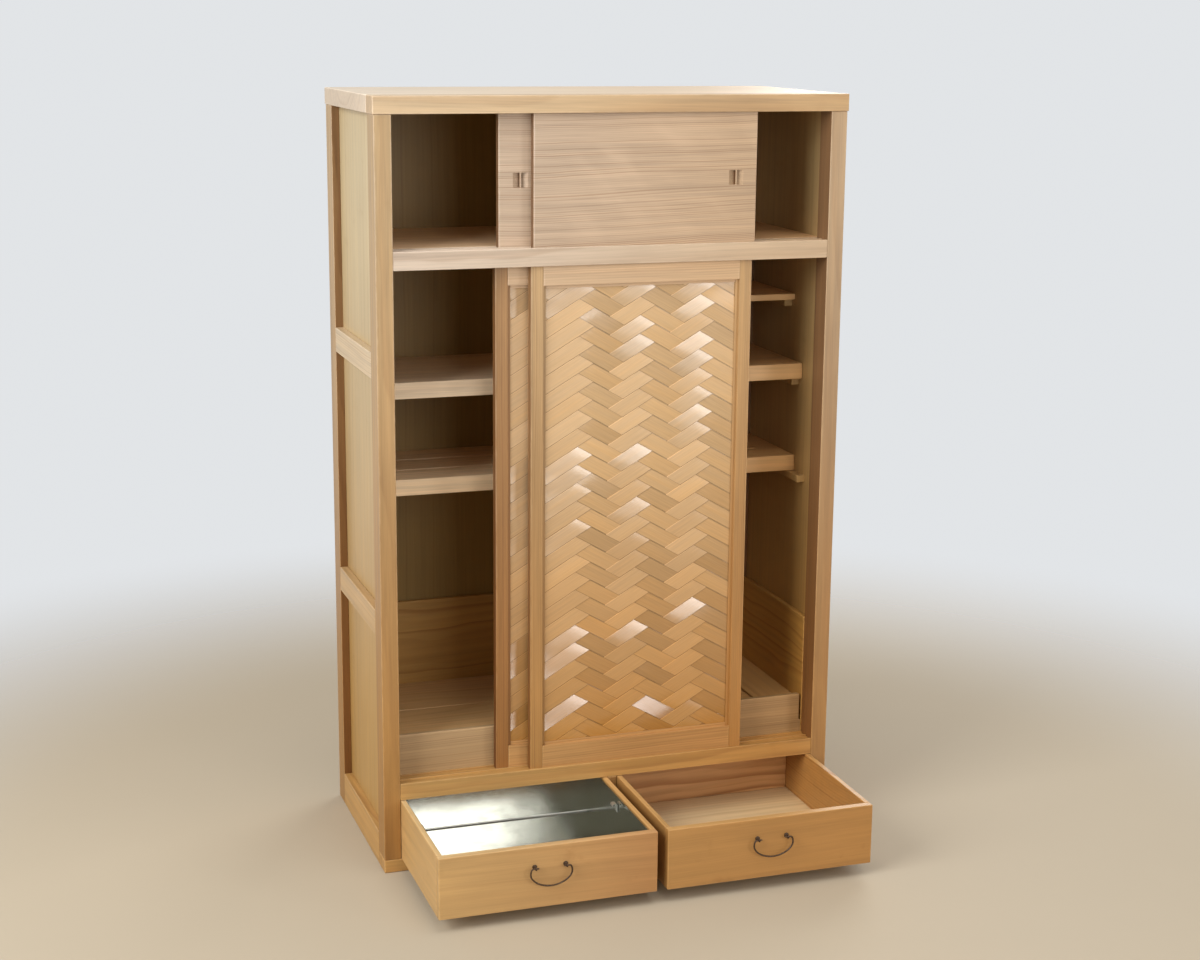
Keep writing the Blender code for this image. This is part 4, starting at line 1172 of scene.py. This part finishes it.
def tin_material(name, liner, dullness):
    """Bright rolled sheet, a little wavy, with fine scratches and dull spots."""
    material, tree, shader = new_material(name)
    spot = object_spot(tree)
    wave = mottle(tree, spot, (7.0, 7.0, 7.0), 1.0)
    cloud = mottle(tree, spot, (20.0, 20.0, 20.0), 3.0)
    scratch = mottle(tree, spot, (34.0, 900.0, 240.0))
    dull = ease(tree, cloud, 0.46, 0.74)
    scratched = ease(tree, scratch, 0.60, 0.75, 0.0, 0.35)
    colour = tint(tree, dull, rgba(liner.colour), rgba(liner.colour, 0.86))
    colour = tint(tree, scratched, colour, rgba(liner.colour, 1.15))
    rough = ease(tree, dull, 0.0, 1.0, dullness, dullness + 0.04)
    dress(tree, shader, colour, weighed(tree, rough, (scratch, 0.04)))
    shader.inputs["Metallic"].default_value = 1.0
    add_bump(tree, shader, weighed(tree, wave, (scratch, 0.002)), 0.4, 0.002)
    return material


LUG_WIDTH = 0.014
LUG_BEND = 0.0009
LUG_DROP = 0.024  # from the rim to the middle of a lug's foot
LUG_INSET = 0.0022  # from the outside of the wall to a lug's foot
# How far each fold of the hem turns in from the last, and how far it goes down.
HEM_FOLDS = ((0.0008, 0.0), (0.0007, 0.0006))
HEM_SLANT = 0.0002


def fold_lug(name, wall, inward, centre_y, centre_z, liner):
    """A lifting lug: a small strap with its foot on the wall and its end turned up."""
    clear_selection()
    bpy.ops.mesh.primitive_plane_add(
        size=LUG_WIDTH, location=(wall, centre_y, centre_z), rotation=(0.0, math.pi / 2, 0.0)
    )
    lug = started(name)
    edit(lug)
    pick(lug, "EDGE", lambda line: all(vertex.co.z > centre_z + 0.006 for vertex in line.verts))
    for away, up in ((0.002, 0.0025), (liner.lug - 0.004, 0.0), (0.002, -0.004)):
        draw_out((inward * away, 0.0, up))
    pick(lug, "EDGE", lambda line: len(line.link_faces) == 2
         and abs(line.verts[0].co.y - line.verts[1].co.y) > 0.005)
    bpy.ops.mesh.bevel(offset=LUG_BEND, segments=2, affect="EDGES")
    mend()
    apply_modifier(lug, "thickness", "SOLIDIFY", thickness=liner.sheet, offset=0.0)
    return lug


def fold_liner(liner, materials):
    """A tray folded from sheet, with a seam along its front and back and a hem folded back along the rim."""
    low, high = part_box("drawer_left_liner")
    centre = (low + high) / 2
    tray = block("liner_tray", low, high)
    tray.data.materials.append(materials["sheet"])
    tray.data.materials.append(materials["dull"])
    edit(tray)
    pick(tray, "FACE", lambda face: middle(face).z > high.z - 0.001)
    bpy.ops.mesh.delete(type="FACE")
    pick(tray, "EDGE", lambda line: middle(line).z < low.z + 0.001 and abs(middle(line).x - centre.x) < 0.001)
    bpy.ops.mesh.bevel(offset=liner.crease, segments=2, affect="EDGES")
    tray.active_material_index = 1
    bpy.ops.object.material_slot_assign()
    pick(tray, "EDGE", lambda line: all(vertex.co.z > high.z - 0.0005 for vertex in line.verts))
    for step, drop in HEM_FOLDS + ((HEM_SLANT, liner.hem),):
        rim = [vertex.co for vertex in bmesh.from_edit_mesh(tray.data).verts if vertex.select]
        wide = max(point.x for point in rim) - min(point.x for point in rim)
        deep = max(point.y for point in rim) - min(point.y for point in rim)
        draw_out((0.0, 0.0, -drop))
        shrink = (1.0 - 2 * step / wide, 1.0 - 2 * step / deep, 1.0)
        bpy.ops.transform.resize(value=shrink, center_override=centre)
    mend(0.00002)
    apply_modifier(tray, "thickness", "SOLIDIFY", thickness=liner.sheet, offset=-1.0)
    pieces = [tray]
    for name, wall, inward in (("lug_left", low.x + LUG_INSET, 1), ("lug_right", high.x - LUG_INSET, -1)):
        pieces.append(fold_lug(name, wall, inward, centre.y, high.z - LUG_DROP, liner))
        pieces[-1].data.materials.append(materials["dull"])
    tray = join(pieces, "liner_tray")
    smooth(tray, 15)
    apply_modifier(tray, "flat_faces", "WEIGHTED_NORMAL", keep_sharp=True)
    return tray


# ---------------------------------------------------------------- stage

CAMERA_PLACE = Vector((-1.2353, -3.5640, 1.5916))
CAMERA_TURN = -0.3280  # about the upright, in radians
CAMERA_TILT = -0.2246  # below the level
CAMERA_ROLL = 0.0090
CAMERA_LENS = 61.17  # mm on a 36 mm wide sensor, for a picture of 1200 by 960


def place_camera():
    """The camera at the photograph's place and angle."""
    right = Vector((math.cos(CAMERA_TURN), math.sin(CAMERA_TURN), 0.0))
    level = Vector((-math.sin(CAMERA_TURN), math.cos(CAMERA_TURN), 0.0))
    upright = Vector((0.0, 0.0, 1.0))
    ahead = math.cos(CAMERA_TILT) * level + math.sin(CAMERA_TILT) * upright
    over = -math.sin(CAMERA_TILT) * level + math.cos(CAMERA_TILT) * upright
    rolled_right = math.cos(CAMERA_ROLL) * right + math.sin(CAMERA_ROLL) * over
    rolled_over = math.cos(CAMERA_ROLL) * over - math.sin(CAMERA_ROLL) * right
    turn = Matrix((rolled_right, rolled_over, -ahead)).transposed()
    bpy.ops.object.camera_add(location=CAMERA_PLACE, rotation=turn.to_euler())
    camera = bpy.context.object
    camera.name = "camera"
    camera.data.sensor_fit = "HORIZONTAL"
    camera.data.sensor_width = 36.0
    camera.data.lens = CAMERA_LENS
    camera.data.clip_start = 0.01
    camera.data.dof.use_dof = False
    bpy.context.scene.camera = camera


WHITE_WARM = (1.0, 0.98, 0.96)
WHITE_SOFT = (1.0, 0.99, 0.97)
WHITE_COOL = (0.97, 0.985, 1.0)

# Lamp, the setting of its power, its place, what it aims at, its width and height, and its colour.
LAMPS = (
    ("side_light", "key", (-3.0, -1.4, 2.2), (0.0, 0.1, 0.8), (2.2, 2.2), WHITE_COOL),
    ("front_light", "fill", (0.18, -3.4, 1.55), (0.18, 0.0, 1.3), (1.36, 1.8), WHITE_WARM),
    ("window_light", "sheen", (2.45, -3.4, 0.9), (0.1, 0.0, 0.75), (0.95, 1.05), WHITE_WARM),
    ("ceiling_light", "ceiling", (0.0, -1.0, 3.7), (0.0, -0.9, 0.0), (2.4, 2.0), WHITE_SOFT),
    ("rear_light", "rear", (2.6, 2.8, 2.2), (0.1, 0.2, 0.6), (2.2, 2.2), WHITE_SOFT),
)


def add_soft_light(name, place, aim, size, power, colour):
    """A large soft lamp that the camera doesn't see."""
    turn = (Vector(aim) - Vector(place)).to_track_quat("-Z", "Y").to_euler()
    bpy.ops.object.light_add(type="AREA", location=place, rotation=turn)
    lamp = bpy.context.object
    lamp.name = name
    lamp.data.shape = "RECTANGLE"
    lamp.data.size, lamp.data.size_y = size
    lamp.data.energy = power
    lamp.data.color = colour
    lamp.visible_camera = False


FLOOR_RADIUS = 2.6
FLOOR_DROP = 0.0005  # keeps the floor clear of the boards that stand on it
FLOOR_FADE = (1.1, 2.5)  # distances between which the floor fades into the backdrop


def floor_material(stage):
    """A plain pale floor that fades into the backdrop at its rim."""
    material, tree, shader = new_material("plain_floor")
    spot = object_spot(tree)
    cloud = mottle(tree, spot, (2.5, 2.5, 2.5), 3.0)
    feed(tree, shader.inputs["Base Color"], tint(tree, cloud, rgba(stage.floor, 0.96), rgba(stage.floor)))
    shader.inputs["Roughness"].default_value = 0.7
    shader.inputs["Specular IOR Level"].default_value = 0.2
    clear = add_node(tree, "ShaderNodeBsdfTransparent").outputs[0]
    faded = ease(tree, vectors(tree, "LENGTH", spot), *FLOOR_FADE)
    surface = blend(tree, faded, shader.outputs[0], clear)
    feed(tree, tree.nodes["Material Output"].inputs["Surface"], surface)
    return material


SKY_LOW, SKY_HIGH = (0.62, 0.56, 0.49), (1.50, 1.53, 1.56)
DIM_ROOM = (0.26, 0.235, 0.175)  # what bright metal mirrors from in front of the cabinet


def set_world(stage):
    """Even light from all round, a pale backdrop for the camera, and a dimmer room for bright metal."""
    world = bpy.data.worlds.new("studio")
    bpy.context.scene.world = world
    world.use_nodes = True
    tree = world.node_tree
    tree.nodes.clear()
    heading = split(tree, add_node(tree, "ShaderNodeTexCoord").outputs["Generated"])
    backdrop = rgba(stage.backdrop)
    sky = tint(tree, ease(tree, heading[2], -0.3, 1.0), rgba(SKY_LOW), rgba(SKY_HIGH))
    mirrored = tint(tree, ease(tree, heading[1], -0.35, 0.25), rgba(DIM_ROOM), backdrop)
    mirrored = tint(tree, ease(tree, heading[2], 0.45, 0.75), mirrored, backdrop)
    light, metal, seen = (
        add_node(tree, "ShaderNodeBackground", {"Color": colour, "Strength": strength}).outputs[0]
        for colour, strength in ((sky, stage.ambient), (mirrored, 1.0), (backdrop, 1.0))
    )
    ray = add_node(tree, "ShaderNodeLightPath").outputs
    shown = maths(tree, "MAXIMUM", ray["Is Camera Ray"], ray["Is Transmission Ray"])
    surface = blend(tree, shown, blend(tree, ray["Is Glossy Ray"], light, metal), seen)
    feed(tree, add_node(tree, "ShaderNodeOutputWorld").inputs["Surface"], surface)


# ---------------------------------------------------------------- operators

class CABINET_OT_dress_carcass(bpy.types.Operator):
    """Give the top, posts, rails, sides and back their cedar finish"""

    bl_idname = "cabinet.dress_carcass"
    bl_label = "Dress the Carcass"

    def execute(self, context):
        dress_boards(CARCASS_BOARDS, context.scene.cabinet.wood)
        return {"FINISHED"}


class CABINET_OT_dress_inside(bpy.types.Operator):
    """Give the shelves, splash boards and inner floor their cedar finish"""

    bl_idname = "cabinet.dress_inside"
    bl_label = "Dress the Inside"

    def execute(self, context):
        dress_boards(INNER_BOARDS, context.scene.cabinet.wood)
        return {"FINISHED"}


class CABINET_OT_dress_doors(bpy.types.Operator):
    """Give the upper doors and the frames of the lower doors their cedar finish"""

    bl_idname = "cabinet.dress_doors"
    bl_label = "Dress the Doors"

    def execute(self, context):
        dress_boards(DOOR_BOARDS, context.scene.cabinet.wood)
        return {"FINISHED"}


class CABINET_OT_dress_drawers(bpy.types.Operator):
    """Give the drawers their cedar finish"""

    bl_idname = "cabinet.dress_drawers"
    bl_label = "Dress the Drawers"

    def execute(self, context):
        dress_boards(DRAWER_BOARDS, context.scene.cabinet.wood)
        return {"FINISHED"}


class CABINET_OT_weave_panels(bpy.types.Operator):
    """Weave the strips of the two lower door panels"""

    bl_idname = "cabinet.weave_panels"
    bl_label = "Weave the Door Panels"

    def execute(self, context):
        weave = context.scene.cabinet.weave
        materials = {
            # The last number is painted light: brighter for the rising strips, darker for the falling ones.
            "rising": strip_material("strips_rising", weave, 1, 0.05),
            "falling": strip_material("strips_falling", weave, -1, -0.06),
            "backing": backing_material(weave),
        }
        for number, side in enumerate(SIDES):
            weave_panel(side, weave, materials, random.Random(weave.seed + number))
        return {"FINISHED"}


class CABINET_OT_add_handles(bpy.types.Operator):
    """Model the bails and eyes of the two drawers"""

    bl_idname = "cabinet.add_handles"
    bl_label = "Add the Handles"

    def execute(self, context):
        handles = context.scene.cabinet.handles
        material = iron_material(handles)
        low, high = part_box("drawer_left_bail")
        axis = Vector(((low.x + high.x) / 2, (low.y + high.y) / 2, high.z - handles.wire))
        far_low, far_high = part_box("drawer_right_bail")
        shift = Vector(((far_low.x + far_high.x) / 2 - axis.x, 0.0, 0.0))
        foot_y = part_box("drawer_left_eye_left")[1].y
        eye_at = axis - Vector((handles.eye_spacing / 2, 0.0, 0.0))
        first_bail = bend_bail("bail_left", axis, handles, material)
        first_eye = forge_eye("eye_left_left", eye_at, foot_y, handles, material)
        between = Vector((handles.eye_spacing, 0.0, 0.0))
        eyes = {
            "left_left": first_eye,
            "left_right": copy_shifted(first_eye, "eye_left_right", between),
            "right_left": copy_shifted(first_eye, "eye_right_left", shift),
            "right_right": copy_shifted(first_eye, "eye_right_right", shift + between),
        }
        bails = {"left": first_bail, "right": copy_shifted(first_bail, "bail_right", shift)}
        for side in SIDES:
            settle(bails[side], f"drawer_{side}_bail", f"drawer_{side}_bail")
            for end in SIDES:
                settle(eyes[f"{side}_{end}"], "drawer_" + side, f"drawer_{side}_eye_{end}")
        return {"FINISHED"}


class CABINET_OT_fold_liner(bpy.types.Operator):
    """Fold the metal liner of the left drawer"""

    bl_idname = "cabinet.fold_liner"
    bl_label = "Fold the Liner"

    def execute(self, context):
        liner = context.scene.cabinet.liner
        materials = {
            "sheet": tin_material("tinned_sheet", liner, 0.10),
            "dull": tin_material("dull_tin", liner, 0.45),
        }
        tray = fold_liner(liner, materials)
        settle(tray, "drawer_left", "drawer_left_liner")
        return {"FINISHED"}


class CABINET_OT_set_stage(bpy.types.Operator):
    """Set the floor, the lights, the backdrop and the camera"""

    bl_idname = "cabinet.set_stage"
    bl_label = "Set the Stage"

    def execute(self, context):
        stage = context.scene.cabinet.stage
        clear_selection()
        bpy.ops.mesh.primitive_circle_add(
            vertices=96, radius=FLOOR_RADIUS, fill_type="NGON", location=(0.0, 0.0, -FLOOR_DROP)
        )
        floor = started("floor")
        floor.data.materials.append(floor_material(stage))
        set_world(stage)
        for name, setting, place, aim, size, colour in LAMPS:
            add_soft_light(name, place, aim, size, getattr(stage, setting), colour)
        place_camera()
        context.scene.view_settings.view_transform = "Standard"
        return {"FINISHED"}


STEPS = (
    CABINET_OT_dress_carcass, CABINET_OT_dress_inside, CABINET_OT_dress_doors, CABINET_OT_dress_drawers,
    CABINET_OT_weave_panels, CABINET_OT_add_handles, CABINET_OT_fold_liner, CABINET_OT_set_stage,
)


class CABINET_PT_sidebar(bpy.types.Panel):
    """Lists the steps that dress the cabinet"""

    bl_label = "Tea Ceremony Cabinet"
    bl_idname = "CABINET_PT_sidebar"
    bl_space_type = "VIEW_3D"
    bl_region_type = "UI"
    bl_category = "Cabinet"

    def draw(self, context):
        for step in STEPS:
            self.layout.operator(step.bl_idname)


CLASSES = (
    CabinetWood, CabinetWeave, CabinetHandles, CabinetLiner, CabinetStage, CabinetSettings,
) + STEPS + (CABINET_PT_sidebar,)


def register():
    for cls in CLASSES:
        bpy.utils.register_class(cls)
    bpy.types.Scene.cabinet = PointerProperty(type=CabinetSettings)


def unregister():
    del bpy.types.Scene.cabinet
    for cls in reversed(CLASSES):
        bpy.utils.unregister_class(cls)


def main():
    register()
    bpy.ops.cabinet.dress_carcass()
    bpy.ops.cabinet.dress_inside()
    bpy.ops.cabinet.dress_doors()
    bpy.ops.cabinet.dress_drawers()
    bpy.ops.cabinet.weave_panels()
    bpy.ops.cabinet.add_handles()
    bpy.ops.cabinet.fold_liner()
    bpy.ops.cabinet.set_stage()


if __name__ == "__main__":
    main()
